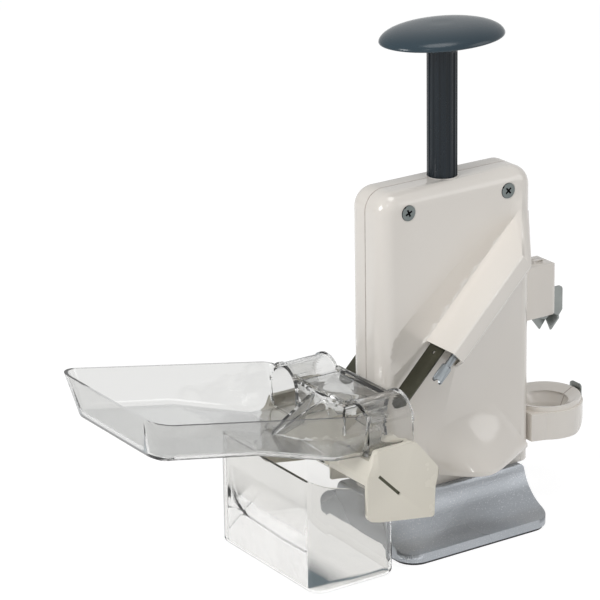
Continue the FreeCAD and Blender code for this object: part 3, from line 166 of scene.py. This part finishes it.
class Paint(Plan):
    """The node tree of one finish."""

    def __init__(self, name):
        self.material = bpy.data.materials.new(name)
        self.material.use_nodes = True
        super().__init__(self.material.node_tree)
        self.shader = self.tree.nodes["Principled BSDF"]
        self.place = self.node("ShaderNodeTexCoord", {}, {}, "Object")

    def noise(self, scale, detail, stretch=EVEN):
        """Soft noise whose grain is 1/scale metres across, and longer along a small stretch."""
        spot = self.node("ShaderNodeMapping", {}, {"Vector": self.place, "Scale": stretch})
        sockets = {"Vector": spot, "Scale": scale, "Detail": detail}
        return self.node("ShaderNodeTexNoise", {}, sockets, "Fac")

    def mix(self, mask, first, second):
        """Go from one colour to another with a mask."""
        sockets = {"Factor": mask, MIX_FIRST: first, MIX_SECOND: second}
        return self.node("ShaderNodeMix", {"data_type": "RGBA"}, sockets, MIX_RESULT)

    def bump(self, height, depth, strength, under=None):
        """Raise the surface by a height that runs from 0 to 1, over a depth in metres."""
        sockets = {"Height": height, "Distance": depth, "Strength": strength}
        if under is not None:
            sockets["Normal"] = under
        return self.node("ShaderNodeBump", {}, sockets)

    def finish(self, **sockets):
        """Wire or set the sockets of the shader by name, with spaces written as underscores."""
        for key, value in sockets.items():
            self.feed(self.shader.inputs[key.replace("_", " ")], value)
        return self.material


def rgb(red, green, blue):
    """A colour as read off a screen, from 0 to 255, in the linear values that a shader wants."""
    def linear(level):
        share = level / SCREEN_TOP
        if share <= SCREEN_DARK:
            return share / SCREEN_DARK_SLOPE
        return ((share + SCREEN_LIFT) / (1.0 + SCREEN_LIFT)) ** SCREEN_POWER
    return (linear(red), linear(green), linear(blue), 1.0)


print("middle grey of a screen is", round(rgb(128, 128, 128)[0], 3), "to a shader")

# %% [markdown]
# ## Moulded plastics
#
# The holders, the plunger and the parts inside are injection mouldings. Close up, such a surface
# is never one flat colour: the mould leaves a very fine grain, the gloss changes a little where
# the melt cooled faster, and handling leaves faint dull patches. Noise at four sizes gives that,
# and one function makes the cream, the dark and the inner plastic from their own colour and gloss.

# %% One function for the plain opaque plastics
PLASTIC_INDEX = 1.5
MOULD_GRAIN = 1900.0    # grains to the metre
GRAIN_DEPTH = 0.00002   # metres


def moulded_plastic(name, colour, shade, roughness, specular=0.5):
    """An opaque moulding in two close shades, with mould grain and patches of other gloss."""
    paint = Paint(name)
    broad = paint.noise(scale=9.0, detail=2.0)
    patches = paint.noise(scale=55.0, detail=4.0)
    grain = paint.noise(scale=MOULD_GRAIN, detail=1.0)
    specks = paint.step(paint.noise(scale=620.0, detail=2.0), low=0.62, high=0.72)
    tint = paint.mix(paint.step(broad, low=0.3, high=0.7), colour, shade)
    tint = paint.mix(specks * 0.25, tint, shade)
    gloss = roughness + patches.swing(0.16) + broad.swing(0.08)
    skin = paint.bump(grain, depth=GRAIN_DEPTH, strength=0.7)
    skin = paint.bump(patches, depth=GRAIN_DEPTH * 4.0, strength=0.5, under=skin)
    return paint.finish(Base_Color=tint, Roughness=gloss, Normal=skin,
                        Specular_IOR_Level=specular, IOR=PLASTIC_INDEX)


cream_plastic = moulded_plastic("cream_plastic", colour=rgb(238, 233, 220),
                                shade=rgb(232, 226, 211), roughness=0.26)
dark_plastic = moulded_plastic("dark_plastic", colour=rgb(54, 71, 81),
                               shade=rgb(46, 62, 72), roughness=0.2, specular=0.38)
stem_plastic = moulded_plastic("stem_plastic", colour=rgb(14, 29, 39),
                               shade=rgb(10, 23, 32), roughness=0.28, specular=0.35)
inner_plastic = moulded_plastic("inner_plastic", colour=rgb(225, 225, 223),
                                shade=rgb(215, 215, 212), roughness=0.45)
mouldings = (cream_plastic, dark_plastic, stem_plastic, inner_plastic)
print("plain plastics:", [plastic.name for plastic in mouldings])

# %% [markdown]
# ## The housing's own finish
#
# The two half shells are a warm white, polished and a little glossier than the rest. They meet on
# the mid-plane, where shade and dust make a fine dark line in the groove. The groove is in the
# solid; its darker colour is painted shade and dust, a mask on the distance from the mid-plane,
# broken up by noise so that it isn't ruled. A thin coat gives the polish, and a noise stretched
# along the housing its slight waviness.

# %% Warm white, with painted shade and dust in the parting groove
GROOVE_FLOOR, GROOVE_EDGE = 0.00015, 0.00055    # metres from the mid-plane


def housing_plastic(name, colour, shade, mark_colour):
    """A polished moulding whose parting groove, on the mid-plane, holds dust and painted shade."""
    paint = Paint(name)
    broad = paint.noise(scale=8.0, detail=2.0)
    patches = paint.noise(scale=48.0, detail=4.0)
    grain = paint.noise(scale=MOULD_GRAIN, detail=1.0)
    waves = paint.noise(scale=30.0, detail=2.0, stretch=(0.35, 1.0, 1.0))
    tint = paint.mix(paint.step(broad, low=0.3, high=0.7), colour, shade)
    specks = paint.step(paint.noise(scale=560.0, detail=2.0), low=0.66, high=0.74)
    tint = paint.mix(specks * 0.2, tint, shade)
    # Painted shade and dust: the parting groove is coloured darker, for the shade in it and the
    # dust it holds.
    side = paint.node("ShaderNodeSeparateXYZ", {}, {"Vector": paint.place}, "Y")
    off_centre = paint.node("ShaderNodeMath", {"operation": "ABSOLUTE"}, {0: side})
    groove = paint.step(off_centre, GROOVE_FLOOR, GROOVE_EDGE, out_low=1.0, out_high=0.0)
    groove_breakup = paint.noise(scale=260.0, detail=3.0)
    marks = groove * paint.step(groove_breakup, low=0.2, high=0.7, out_low=0.55, out_high=0.9)
    tint = paint.mix(marks, tint, mark_colour)
    gloss = 0.16 + patches.swing(0.08) + waves.swing(0.07) + groove * 0.3
    skin = paint.bump(grain, depth=0.000012, strength=0.6)
    skin = paint.bump(waves, depth=0.00009, strength=0.35, under=skin)
    return paint.finish(Base_Color=tint, Roughness=gloss, Normal=skin,
                        Coat_Weight=0.5, Coat_Roughness=0.06, IOR=PLASTIC_INDEX)


# The groove's darker colour is painted shade and dust.
shell_plastic = housing_plastic("shell_plastic", colour=rgb(240, 235, 228),
                                shade=rgb(234, 228, 220), mark_colour=rgb(150, 132, 124))
print("dusty groove, millimetres each side:", GROOVE_EDGE * 1000.0)

# %% [markdown]
# ## The grey foot
#
# The foot has a spark-eroded texture, a fine and even pebble that scatters the light, so that its
# highlights are broad and soft. Modelled pebbles of this size would take millions of faces, so
# they are relief in the shader: one noise of pebble size under a finer one. Metal flake is mixed
# into the grey: the whole is a little metallic, and a few flakes that happen to lie flat are
# painted lighter into the colour, as painted glints for the light they catch.

# %% Textured grey plastic with metal flake
PEBBLES = 800.0    # to the metre


def pebbled_plastic(name, colour, shade, painted_glint_colour):
    """A grey with a pebbled skin, and single flakes painted lighter as glints."""
    paint = Paint(name)
    pebbles = paint.noise(scale=PEBBLES, detail=2.0)
    grain = paint.noise(scale=PEBBLES * 3.0, detail=2.0)
    broad = paint.noise(scale=14.0, detail=3.0)
    # Painted glints: a few flakes are painted lighter, as if they caught the light.
    painted_glints = paint.step(paint.noise(scale=1300.0, detail=1.0), low=0.6, high=0.72)
    tint = paint.mix(paint.step(broad, low=0.3, high=0.75), colour, shade)
    tint = paint.mix(paint.step(pebbles, low=0.35, high=0.65) * 0.4, tint, shade)
    skin = paint.bump(pebbles, depth=0.00004, strength=0.7)
    skin = paint.bump(grain, depth=0.00003, strength=0.4, under=skin)
    tint = paint.mix(painted_glints * 0.5, tint, painted_glint_colour)
    return paint.finish(Base_Color=tint, Roughness=0.27 + broad.swing(0.08),
                        Metallic=0.45, Normal=skin, IOR=PLASTIC_INDEX)


foot_plastic = pebbled_plastic("foot_plastic", colour=rgb(186, 190, 195),
                               shade=rgb(168, 173, 179), painted_glint_colour=rgb(235, 237, 240))
print("pebbles, millimetres across:", 1000.0 / PEBBLES)

# %% [markdown]
# ## Clear plastic
#
# The tray and the container are clear mouldings about 2 mm thick. Light goes nearly straight
# through such a thin wall, so part of the bending is left out with an index below the real one,
# and most of it for the box, whose walls are plain. A coat with the real index gives the gloss.
# Rims and corners look darker where the eye goes through more plastic and where a wall bends dark
# surroundings into view. A mask on the colour paints that in as painted shade where a wall is seen
# edge on.

# %% Clear, slightly smoky plastic
def clear_moulding(name, face_colour, painted_edge_shade, index):
    """A clear wall with painted shade where it is seen edge on, with haze and fine scratches."""
    paint = Paint(name)
    ripple = paint.noise(scale=38.0, detail=2.0)
    haze = paint.noise(scale=160.0, detail=3.0)
    lines = paint.noise(scale=240.0, detail=3.0, stretch=(0.08, 1.0, 1.0))
    scratches = paint.step(lines, low=0.66, high=0.74)
    edge = paint.node("ShaderNodeLayerWeight", {}, {"Blend": 0.35}, "Facing")
    # Painted shade: the colour goes nearly black where a wall is seen edge on.
    tint = paint.mix(paint.step(edge, low=0.45, high=0.8), face_colour, painted_edge_shade)
    skin = paint.bump(ripple, depth=0.0002, strength=0.3)
    skin = paint.bump(scratches, depth=0.00001, strength=0.5, under=skin)
    dullness = 0.015 + paint.step(haze, low=0.5, high=0.9) * 0.03 + scratches * 0.06
    coat = paint.step(edge, low=0.4, high=0.8, out_low=0.5, out_high=0.05)
    return paint.finish(Base_Color=tint, Roughness=dullness, Normal=skin, IOR=index,
                        Transmission_Weight=1.0, Coat_Weight=coat, Coat_Roughness=0.03,
                        Coat_IOR=PLASTIC_INDEX)


TRAY_SMOKE = (0.77, 0.77, 0.76, 1.0)
BOX_SMOKE = (0.84, 0.835, 0.82, 1.0)
# The colour of the painted shade on rims seen edge on.
PAINTED_RIM_SHADE = (0.02, 0.035, 0.045, 1.0)
clear_plastic = clear_moulding("clear_plastic", TRAY_SMOKE, PAINTED_RIM_SHADE, index=1.38)
clear_box_plastic = clear_moulding("clear_box_plastic", BOX_SMOKE, PAINTED_RIM_SHADE, index=1.13)
print("clear finishes:", [clear.name for clear in (clear_plastic, clear_box_plastic)])

# %% [markdown]
# ## Steel
#
# Punches, blades, strips and the small finger over the plum seat are stainless steel. Rolled sheet
# shows fine lines along the rolling direction: noise squeezed along one axis, which needs no
# picture of metal and fits a piece of any size. Turned rod and spring wire are smoother and only
# vary in gloss. The recess of a screw is the same steel, nearly black, and the same black is
# painted round a screw head as the shade of its seam.

# %% Rolled sheet, turned rod and wire
DULL_SHARE = 0.82
LINES_ALONG_X, LINES_ALONG_Z = (0.04, 1.0, 1.0), (1.0, 1.0, 0.05)


def steel(name, colour, roughness, lines=EVEN):
    """Bare steel with clouds of duller metal, and with rolling lines where it is sheet."""
    paint = Paint(name)
    grain = paint.noise(scale=1500.0, detail=3.0, stretch=lines)
    cloud = paint.noise(scale=120.0, detail=3.0)
    dull = tuple(part * DULL_SHARE for part in colour[:3]) + (1.0,)
    tint = paint.mix(paint.step(cloud, low=0.3, high=0.75), colour, dull)
    gloss = roughness + grain.swing(0.18) + cloud.swing(0.12)
    skin = paint.bump(grain, depth=0.000012, strength=0.5)
    return paint.finish(Base_Color=tint, Roughness=gloss, Metallic=1.0, Normal=skin)


sheet_steel = steel("sheet_steel", rgb(150, 154, 152), 0.36, LINES_ALONG_X)
rod_steel = steel("rod_steel", rgb(158, 164, 168), 0.33)
screw_steel = steel("screw_steel", rgb(124, 131, 130), 0.4)
strip_steel = steel("strip_steel", rgb(88, 88, 76), 0.4, LINES_ALONG_Z)
# Black for the screw's recess, and painted shade for the seam round its head.
black_recess_and_seam_shade = steel("black_recess_and_seam_shade", rgb(34, 36, 38), 0.6)
metals = (sheet_steel, rod_steel, screw_steel, strip_steel, black_recess_and_seam_shade)
print("metals:", [metal.name for metal in metals])

# %% [markdown]
# ## Soft ring
#
# The foot stands on a dull elastomer ring that keeps it from sliding when the plunger is pushed.
# One flat dark colour with a high roughness would look like a hole, so a fine grain moves the
# roughness a little, and some dust lightens the colour in patches.

# %% Dull rubber
def soft_rubber(name, colour, mark_colour):
    """A matt dark ring with a little dust on it."""
    paint = Paint(name)
    marks = paint.noise(scale=90.0, detail=4.0)
    grain = paint.noise(scale=1300.0, detail=2.0)
    tint = paint.mix(paint.step(marks, low=0.45, high=0.8) * 0.5, colour, mark_colour)
    skin = paint.bump(grain, depth=0.00004, strength=0.6)
    return paint.finish(Base_Color=tint, Roughness=0.75 + grain.swing(0.1), Normal=skin)


rubber = soft_rubber("soft_rubber", colour=rgb(46, 47, 49), mark_colour=rgb(86, 86, 86))
print("soft finish:", rubber.name)

# %% [markdown]
# ## Giving the solids their finish
#
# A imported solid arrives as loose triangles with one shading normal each, which shows as facets on
# every round edge. A copy of it can be merged at its corners and shaded smooth by angle, and
# weighting the normals by face area keeps the flat faces flat. The copy then stands for the solid.

# %% Helpers for working on one piece
MERGE_DISTANCE = 0.000005    # metres


def pick(piece):
    """Select only this piece and make it the active one."""
    bpy.ops.object.select_all(action="DESELECT")
    piece.select_set(True)
    bpy.context.view_layer.objects.active = piece


def edit(piece):
    """Enter edit mode on one piece with nothing selected, and give its bmesh."""
    pick(piece)
    bpy.ops.object.mode_set(mode="EDIT")
    bpy.ops.mesh.select_all(action="DESELECT")
    return bmesh.from_edit_mesh(piece.data)


def edit_whole(piece):
    """Enter edit mode on one piece with all of it selected."""
    edit(piece)
    bpy.ops.mesh.select_all(action="SELECT")


def twin(piece, name):
    """Copy a piece, with a mesh of its own."""
    copy = piece.copy()
    copy.data = piece.data.copy()
    copy.name = name
    bpy.context.scene.collection.objects.link(copy)
    return copy


def seat_at_origin(piece):
    """Put a piece's place into its mesh and leave its object at the origin."""
    pick(piece)
    bpy.ops.object.transform_apply(location=True, rotation=True, scale=True)


print("corners merge within", MERGE_DISTANCE * 1000.0, "mm")

# %% A smooth copy of a solid
COPY_CREASE = 32.0    # degrees
SLOTS = {part["node"]: part["material_slot"] for part in frame["record"]["subparts"]}
BODIES = {node: body for body, members in frame["record"]["behaviour"]["bodies"].items()
          for node in members}


def smooth_copy(node, finish):
    """Copy a solid, smooth the copy and give it a finish. The copy then stands for the solid."""
    piece = twin(nodes[node], node + "_form")
    edit_whole(piece)
    bpy.ops.mesh.remove_doubles(threshold=MERGE_DISTANCE)
    bpy.ops.object.mode_set(mode="OBJECT")
    bpy.ops.object.shade_smooth_by_angle(angle=math.radians(COPY_CREASE))
    evened = piece.modifiers.new("even_normals", "WEIGHTED_NORMAL")
    evened.keep_sharp = True
    bpy.ops.object.modifier_apply(modifier=evened.name)
    piece.data.materials.clear()
    piece.data.materials.append(finish)
    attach(piece, BODIES[node])
    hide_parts(node)
    return piece


print("slots:", sorted(set(SLOTS.values())))

# %% Each solid's finish, by its slot or by its own name
SLOT_FINISH = {
    "foot_plastic": foot_plastic, "shell_plastic": shell_plastic, "cream_plastic": cream_plastic,
    "dark_plastic": dark_plastic, "inner_plastic": inner_plastic, "clear_plastic": clear_plastic,
    "soft_rubber": rubber, "steel": sheet_steel,
}
OWN_FINISH = {
    "front_punch": rod_steel, "rear_punch": rod_steel, "return_spring": rod_steel,
    "front_drive_pin": rod_steel, "rear_drive_pin": rod_steel, "base_screws": screw_steel,
    "knob_screw": screw_steel, "press_stem": stem_plastic, "front_retaining_strip": strip_steel,
    "rear_retaining_strip": strip_steel, "front_stone_stripper": strip_steel,
    "rear_stone_stripper": strip_steel, "stone_container": clear_box_plastic,
}
REMODELLED = ("press_knob", "housing_screws")
forms = {}
for node in sorted(nodes):
    if node not in REMODELLED:
        forms[node] = smooth_copy(node, OWN_FINISH.get(node, SLOT_FINISH[SLOTS[node]]))
print("smoothed:", len(forms))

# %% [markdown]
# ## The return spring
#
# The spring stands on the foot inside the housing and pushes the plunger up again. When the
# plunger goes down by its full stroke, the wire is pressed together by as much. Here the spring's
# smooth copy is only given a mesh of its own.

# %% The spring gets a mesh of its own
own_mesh(forms["return_spring"])

# %% [markdown]
# ## The knob
#
# The palm of the hand presses on a wide oval knob: a low dome that turns over a full, round rim
# into a hollow underside, with a hub round the stem. The solid's rim is thin and simple. A spun
# profile would come out round, and the knob is oval, so it starts as a circle that is resized to
# the oval. A ring of edges that is extruded and resized step by step draws the whole section in
# one go, and a subdivision surface makes it flow.

# %% The knob's section, as rings of (share of the oval, height)
KNOB_HALF_LENGTH, KNOB_HALF_WIDTH = 0.0393, 0.0288
RIM = (1.0, 0.2907)
DOME = [(0.982, 0.2928), (0.93, 0.2949), (0.83, 0.29675), (0.68, 0.2983), (0.48, 0.29935),
        (0.25, 0.29985)]
UNDERSIDE = [(0.986, 0.2889), (0.945, 0.2876), (0.885, 0.2872), (0.83, 0.2876), (0.74, 0.2894),
             (0.52, 0.2899), (0.37, 0.2896), (0.33, 0.2886), (0.315, 0.2848)]
print("rings:", 1 + len(DOME) + len(UNDERSIDE))

# %% Helpers that carry a ring of edges to its next place
ORIGIN = (0.0, 0.0, 0.0)
SAME_HEIGHT = 0.000001


def next_ring(before, after):
    """Extrude the selected ring from one (share of the oval, height) to the next."""
    rise = (0.0, 0.0, after[1] - before[1])
    bpy.ops.mesh.extrude_region_move(TRANSFORM_OT_translate={"value": rise})
    grow = after[0] / before[0]
    bpy.ops.transform.resize(value=(grow, grow, 1.0), center_override=ORIGIN)


def select_ring(piece, height):
    """Select the ring of edges at a height."""
    mesh = edit(piece)
    for edge in mesh.edges:
        edge.select_set(all(abs(end.co.z - height) < SAME_HEIGHT for end in edge.verts))
    bmesh.update_edit_mesh(piece.data)


print("heights count as the same within", SAME_HEIGHT * 1000.0, "mm")

# %% The knob's dome, rim and hollow
KNOB_SIDES = 40
CAP_INSET = 0.003
FLOW_LEVELS = 2
bpy.ops.object.select_all(action="DESELECT")
bpy.ops.mesh.primitive_circle_add(vertices=KNOB_SIDES, radius=RIM[0], location=(0.0, 0.0, RIM[1]))
knob = bpy.context.object
knob.name = "knob_form"
knob.scale = (KNOB_HALF_LENGTH, KNOB_HALF_WIDTH, 1.0)
seat_at_origin(knob)
for rings in (DOME, UNDERSIDE):
    select_ring(knob, RIM[1])
    last = RIM
    for ring in rings:
        next_ring(last, ring)
        last = ring
    bpy.ops.mesh.edge_face_add()
    bpy.ops.mesh.inset(thickness=CAP_INSET)
    bpy.ops.object.mode_set(mode="OBJECT")
print("knob faces before it flows:", len(knob.data.polygons))

# %% The knob made smooth
edit_whole(knob)
bpy.ops.mesh.remove_doubles(threshold=MERGE_DISTANCE)
bpy.ops.mesh.normals_make_consistent(inside=False)
bpy.ops.object.mode_set(mode="OBJECT")
flow = knob.modifiers.new("flow", "SUBSURF")
flow.levels = flow.render_levels = FLOW_LEVELS
bpy.ops.object.modifier_apply(modifier=flow.name)
bpy.ops.object.shade_smooth()
knob.data.materials.append(dark_plastic)
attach(knob, "press")
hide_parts("press_knob")
print("knob faces:", len(knob.data.polygons))

# %% [markdown]
# ## The housing screws
#
# Two cross-head screws hold the half shells together. Each has a broad flat head with a softened
# edge, sunk flush in the shell, and a tapered cross recess that looks black. The screw is shaped
# from one cylinder: the back face is inset and drawn out for the shank, the front face is made a
# little narrower and inset for the edge, and two tapered bars cut the recess, which gives its
# sloping walls in one step. A dark seam of painted shade, for the gap round the head, shows where
# the head meets the shell. The second screw is a copy that stopped at another angle.

# %% The screw's measures, and helpers for its faces and its recess
HEAD_RADIUS, HEAD_DEPTH, SHANK_RADIUS, SHANK_END = 0.0048, 0.0018, 0.00195, 0.0092
HEAD_FACE, SCREW_SIDE, SCREW_HEIGHT = -0.0164, 0.0348, 0.1988
ARM_LENGTH, ARM_WIDTH, ARM_REACH, ARM_TAPER = 0.0046, 0.0011, 0.0014, 0.55
LEFT_HEAD = (-SCREW_SIDE, HEAD_FACE, SCREW_HEIGHT)
RIGHT_HEAD = (SCREW_SIDE, HEAD_FACE, SCREW_HEIGHT)
BACK, FRONT, SQUARE_ON = 1.0, -1.0, 0.9


def choose_faces(piece, way):
    """Select the faces that look to the back or to the front."""
    mesh = edit(piece)
    for face in mesh.faces:
        face.select_set(face.normal.y * way > SQUARE_ON)
    bmesh.update_edit_mesh(piece.data)


def narrow(share, centre):
    """Make the selected faces narrower about a centre, and leave their depth alone."""
    bpy.ops.transform.resize(value=(share, 1.0, share), center_override=centre)


def tapered_bar(width, height):
    """A bar whose deep end is narrower, for cutting one arm of the cross."""
    bpy.ops.object.select_all(action="DESELECT")
    bpy.ops.mesh.primitive_cube_add(size=1.0, location=ORIGIN)
    bar = bpy.context.object
    bar.scale = (width, 2.0 * ARM_REACH, height)
    seat_at_origin(bar)
    choose_faces(bar, BACK)
    narrow(ARM_TAPER, (0.0, ARM_REACH, 0.0))
    bpy.ops.object.mode_set(mode="OBJECT")
    bar.location = LEFT_HEAD
    return bar


print("screw, millimetres long:", round((SHANK_END - HEAD_FACE) * 1000.0, 1))

# %% One screw, shaped from a cylinder
SCREW_SIDES = 32
SHANK_TAPER, HEAD_TAPER = 0.6, 0.93
SOFT_EDGE, SOFT_RISE = 0.0007, 0.00012
TURNED_RING, TURNED_SINK = 0.0004, -0.0001
screw_axis = (-SCREW_SIDE, 0.0, SCREW_HEIGHT)
bpy.ops.object.select_all(action="DESELECT")
bpy.ops.mesh.primitive_cylinder_add(
    vertices=SCREW_SIDES, radius=HEAD_RADIUS, depth=HEAD_DEPTH,
    location=(-SCREW_SIDE, HEAD_FACE + HEAD_DEPTH / 2.0, SCREW_HEIGHT),
    rotation=(math.radians(90.0), 0.0, 0.0))
screw = bpy.context.object
screw.name = "housing_screw_left"
seat_at_origin(screw)
choose_faces(screw, BACK)
bpy.ops.mesh.inset(thickness=HEAD_RADIUS - SHANK_RADIUS)
shank = (0.0, SHANK_END - HEAD_FACE - HEAD_DEPTH, 0.0)
bpy.ops.mesh.extrude_region_move(TRANSFORM_OT_translate={"value": shank})
narrow(SHANK_TAPER, screw_axis)
bpy.ops.object.mode_set(mode="OBJECT")
choose_faces(screw, FRONT)
narrow(HEAD_TAPER, screw_axis)
bpy.ops.mesh.inset(thickness=SOFT_EDGE, depth=SOFT_RISE)
bpy.ops.mesh.inset(thickness=TURNED_RING, depth=TURNED_SINK)
bpy.ops.object.mode_set(mode="OBJECT")
print("screw faces before the recess:", len(screw.data.polygons))

# %% The cross recess
SCREW_CREASE = 28.0    # degrees
for bar in (tapered_bar(ARM_LENGTH, ARM_WIDTH), tapered_bar(ARM_WIDTH, ARM_LENGTH)):
    cut = screw.modifiers.new("recess", "BOOLEAN")
    cut.object = bar
    cut.operation = "DIFFERENCE"
    cut.solver = "EXACT"
    pick(screw)
    bpy.ops.object.modifier_apply(modifier=cut.name)
    bpy.data.objects.remove(bar)
bpy.ops.object.shade_smooth_by_angle(angle=math.radians(SCREW_CREASE))
print("screw faces:", len(screw.data.polygons))

# %% The recess is black, and the seam round the head is painted black as shade
RECESS_RADIUS, RECESS_TOP, RECESS_FLOOR = 0.0025, 0.0001, 0.0016
SEAM_RADIUS = 0.0044
screw.data.materials.append(screw_steel)
screw.data.materials.append(black_recess_and_seam_shade)
for face in screw.data.polygons:
    out = math.hypot(face.center.x + SCREW_SIDE, face.center.z - SCREW_HEIGHT)
    above_floor = HEAD_FACE + RECESS_TOP < face.center.y < HEAD_FACE + RECESS_FLOOR
    # The seam ring is painted shade for the dark gap between the head and the shell.
    in_seam_shade = out > SEAM_RADIUS and face.center.y < HEAD_FACE + HEAD_DEPTH
    if (out < RECESS_RADIUS and above_floor) or in_seam_shade:
        face.material_index = 1
print("black faces:", sum(face.material_index for face in screw.data.polygons))

# %% The second screw, and both turned to where they stopped
LEFT_TURN, RIGHT_TURN = 24.0, 41.0    # degrees


def turn_in_place(piece, degrees, centre):
    """Turn a whole mesh about an axis that points to the front."""
    edit_whole(piece)
    bpy.ops.transform.rotate(value=math.radians(degrees), orient_axis="Y", center_override=centre)
    bpy.ops.object.mode_set(mode="OBJECT")


second_screw = twin(screw, "housing_screw_right")
second_screw.location = (2.0 * SCREW_SIDE, 0.0, 0.0)
seat_at_origin(second_screw)
turn_in_place(screw, LEFT_TURN, LEFT_HEAD)
turn_in_place(second_screw, RIGHT_TURN, RIGHT_HEAD)
screws = (screw, second_screw)
for one in screws:
    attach(one, "housing")
    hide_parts("housing_screws")
print("screws:", len(screws))

# %% [markdown]
# ## Table and light
#
# The tool stands on a plain white table. The table is one large sheet that is bright to the camera
# and still takes the shadow under the foot. Three soft lamps light it as a product is lit: a large
# one from the upper left, a weaker one from the right and one from above. A small fourth one adds
# hardly any light, but shows as a crisp glint on the knob and on the round corners.

# %% The table
TABLE_SIZE = 12.0
WHITE, TABLE_WHITE = (1.0, 1.0, 1.0, 1.0), (0.86, 0.86, 0.86, 1.0)
TABLE_GLOW, GLOW_SHARE = 1.24, 0.72


def plain_table():
    """A white sheet that glows a little in what the camera, gloss and clear plastic show of it."""
    bpy.ops.mesh.primitive_plane_add(size=TABLE_SIZE, location=ORIGIN)
    sheet = bpy.context.object
    sheet.name = "table"
    material = bpy.data.materials.new("table_white")
    material.use_nodes = True
    material.node_tree.nodes.clear()
    plan = Plan(material.node_tree)
    cloth = plan.node("ShaderNodeBsdfDiffuse", {}, {"Color": TABLE_WHITE})
    glow = plan.node("ShaderNodeEmission", {}, {"Color": WHITE, "Strength": TABLE_GLOW})
    seen = plan.most(plan.most(plan.ray("Camera"), plan.ray("Glossy")), plan.ray("Transmission"))
    both = plan.node("ShaderNodeMixShader", {}, {0: seen * GLOW_SHARE, 1: cloth, 2: glow})
    plan.feed(material.node_tree.nodes.new("ShaderNodeOutputMaterial").inputs["Surface"], both)
    sheet.data.materials.append(material)
    return sheet


table = plain_table()
print("table:", tuple(round(side, 1) for side in table.dimensions))

# %% The lamps
LIT_SPOT = (0.0, 0.0, 0.13)


def soft_lamp(name, place, size, watts):
    """A round lamp of one width in metres, turned to the middle of the tool."""
    lamp = bpy.data.lights.new(name, "AREA")
    lamp.shape = "DISK"
    lamp.size = size
    lamp.energy = watts
    holder = bpy.data.objects.new(name, lamp)
    bpy.context.scene.collection.objects.link(holder)
    holder.location = place
    holder.rotation_euler = (Vector(LIT_SPOT) - Vector(place)).to_track_quat("-Z", "Y").to_euler()
    return holder


lamps = [
    soft_lamp("key_lamp", (-2.0, -0.35, 1.15), size=0.9, watts=20.0),
    soft_lamp("fill_lamp", (1.5, -1.3, 0.7), size=1.2, watts=5.0),
    soft_lamp("top_lamp", (0.15, -0.6, 2.05), size=1.1, watts=9.5),
    soft_lamp("glint_lamp", (-1.1, -1.9, 1.9), size=0.2, watts=2.0),
]
print("lamps:", len(lamps), "with", sum(lamp.data.energy for lamp in lamps), "watts")

# %% [markdown]
# ## The room
#
# The room is white. Seen by the camera, or through the clear plastic, it is fully white, as the
# photograph's ground is. It lights the tool with less than a third of that, so that the lamps
# still shape the forms, and gloss shows a share in between.

# %% The white room
ROOM_LIGHT, GLOSS_SHARE = 0.3, 0.55
room = bpy.data.worlds.new("room")
bpy.context.scene.world = room
room.use_nodes = True
air = Plan(room.node_tree)
seen = air.most(air.most(air.ray("Camera"), air.ray("Transmission")),
                air.ray("Glossy") * GLOSS_SHARE)
backdrop = room.node_tree.nodes["Background"]
air.feed(backdrop.inputs["Color"], WHITE)
air.feed(backdrop.inputs["Strength"], air.step(seen, 0.0, 1.0, ROOM_LIGHT, 1.0))
print("room light:", ROOM_LIGHT)

# %% [markdown]
# ## The camera
#
# The camera stands where the photograph was taken: about 1.9 m away, to the left of the tool,
# looking down on it by some 20 degrees through a long lens. A camera can be placed by eye, but
# numbers fitted to the edges of the housing, the tray and the foot let the render lie over the
# photograph edge for edge.

# %% Camera at the photograph's place
SENSOR_WIDTH, PICTURE_WIDTH, FOCAL_PIXELS = 36.0, 600.0, 3296.3
FAR_END = 50.0
CAMERA_PLACE = (-1.04960, -1.44046, 0.77577)
TURN, TILT, ROLL = math.radians(33.4567), math.radians(-19.7456), -0.0154394
lens = bpy.data.cameras.new("camera")
lens.sensor_width = SENSOR_WIDTH
lens.lens = FOCAL_PIXELS * SENSOR_WIDTH / PICTURE_WIDTH
lens.clip_end = FAR_END
camera = bpy.data.objects.new("camera", lens)
bpy.context.scene.collection.objects.link(camera)
ahead = Vector((math.sin(TURN) * math.cos(TILT), math.cos(TURN) * math.cos(TILT), math.sin(TILT)))
level = Vector((math.cos(TURN), -math.sin(TURN), 0.0))
upright = level.cross(ahead)
right = level * math.cos(ROLL) + upright * math.sin(ROLL)
above = upright * math.cos(ROLL) - level * math.sin(ROLL)
facing = Matrix((right, above, -ahead)).transposed().to_4x4()
camera.matrix_world = Matrix.Translation(CAMERA_PLACE) @ facing
bpy.context.scene.camera = camera
bpy.context.scene.view_settings.view_transform = "Standard"
print("lens, millimetres:", round(lens.lens, 1))
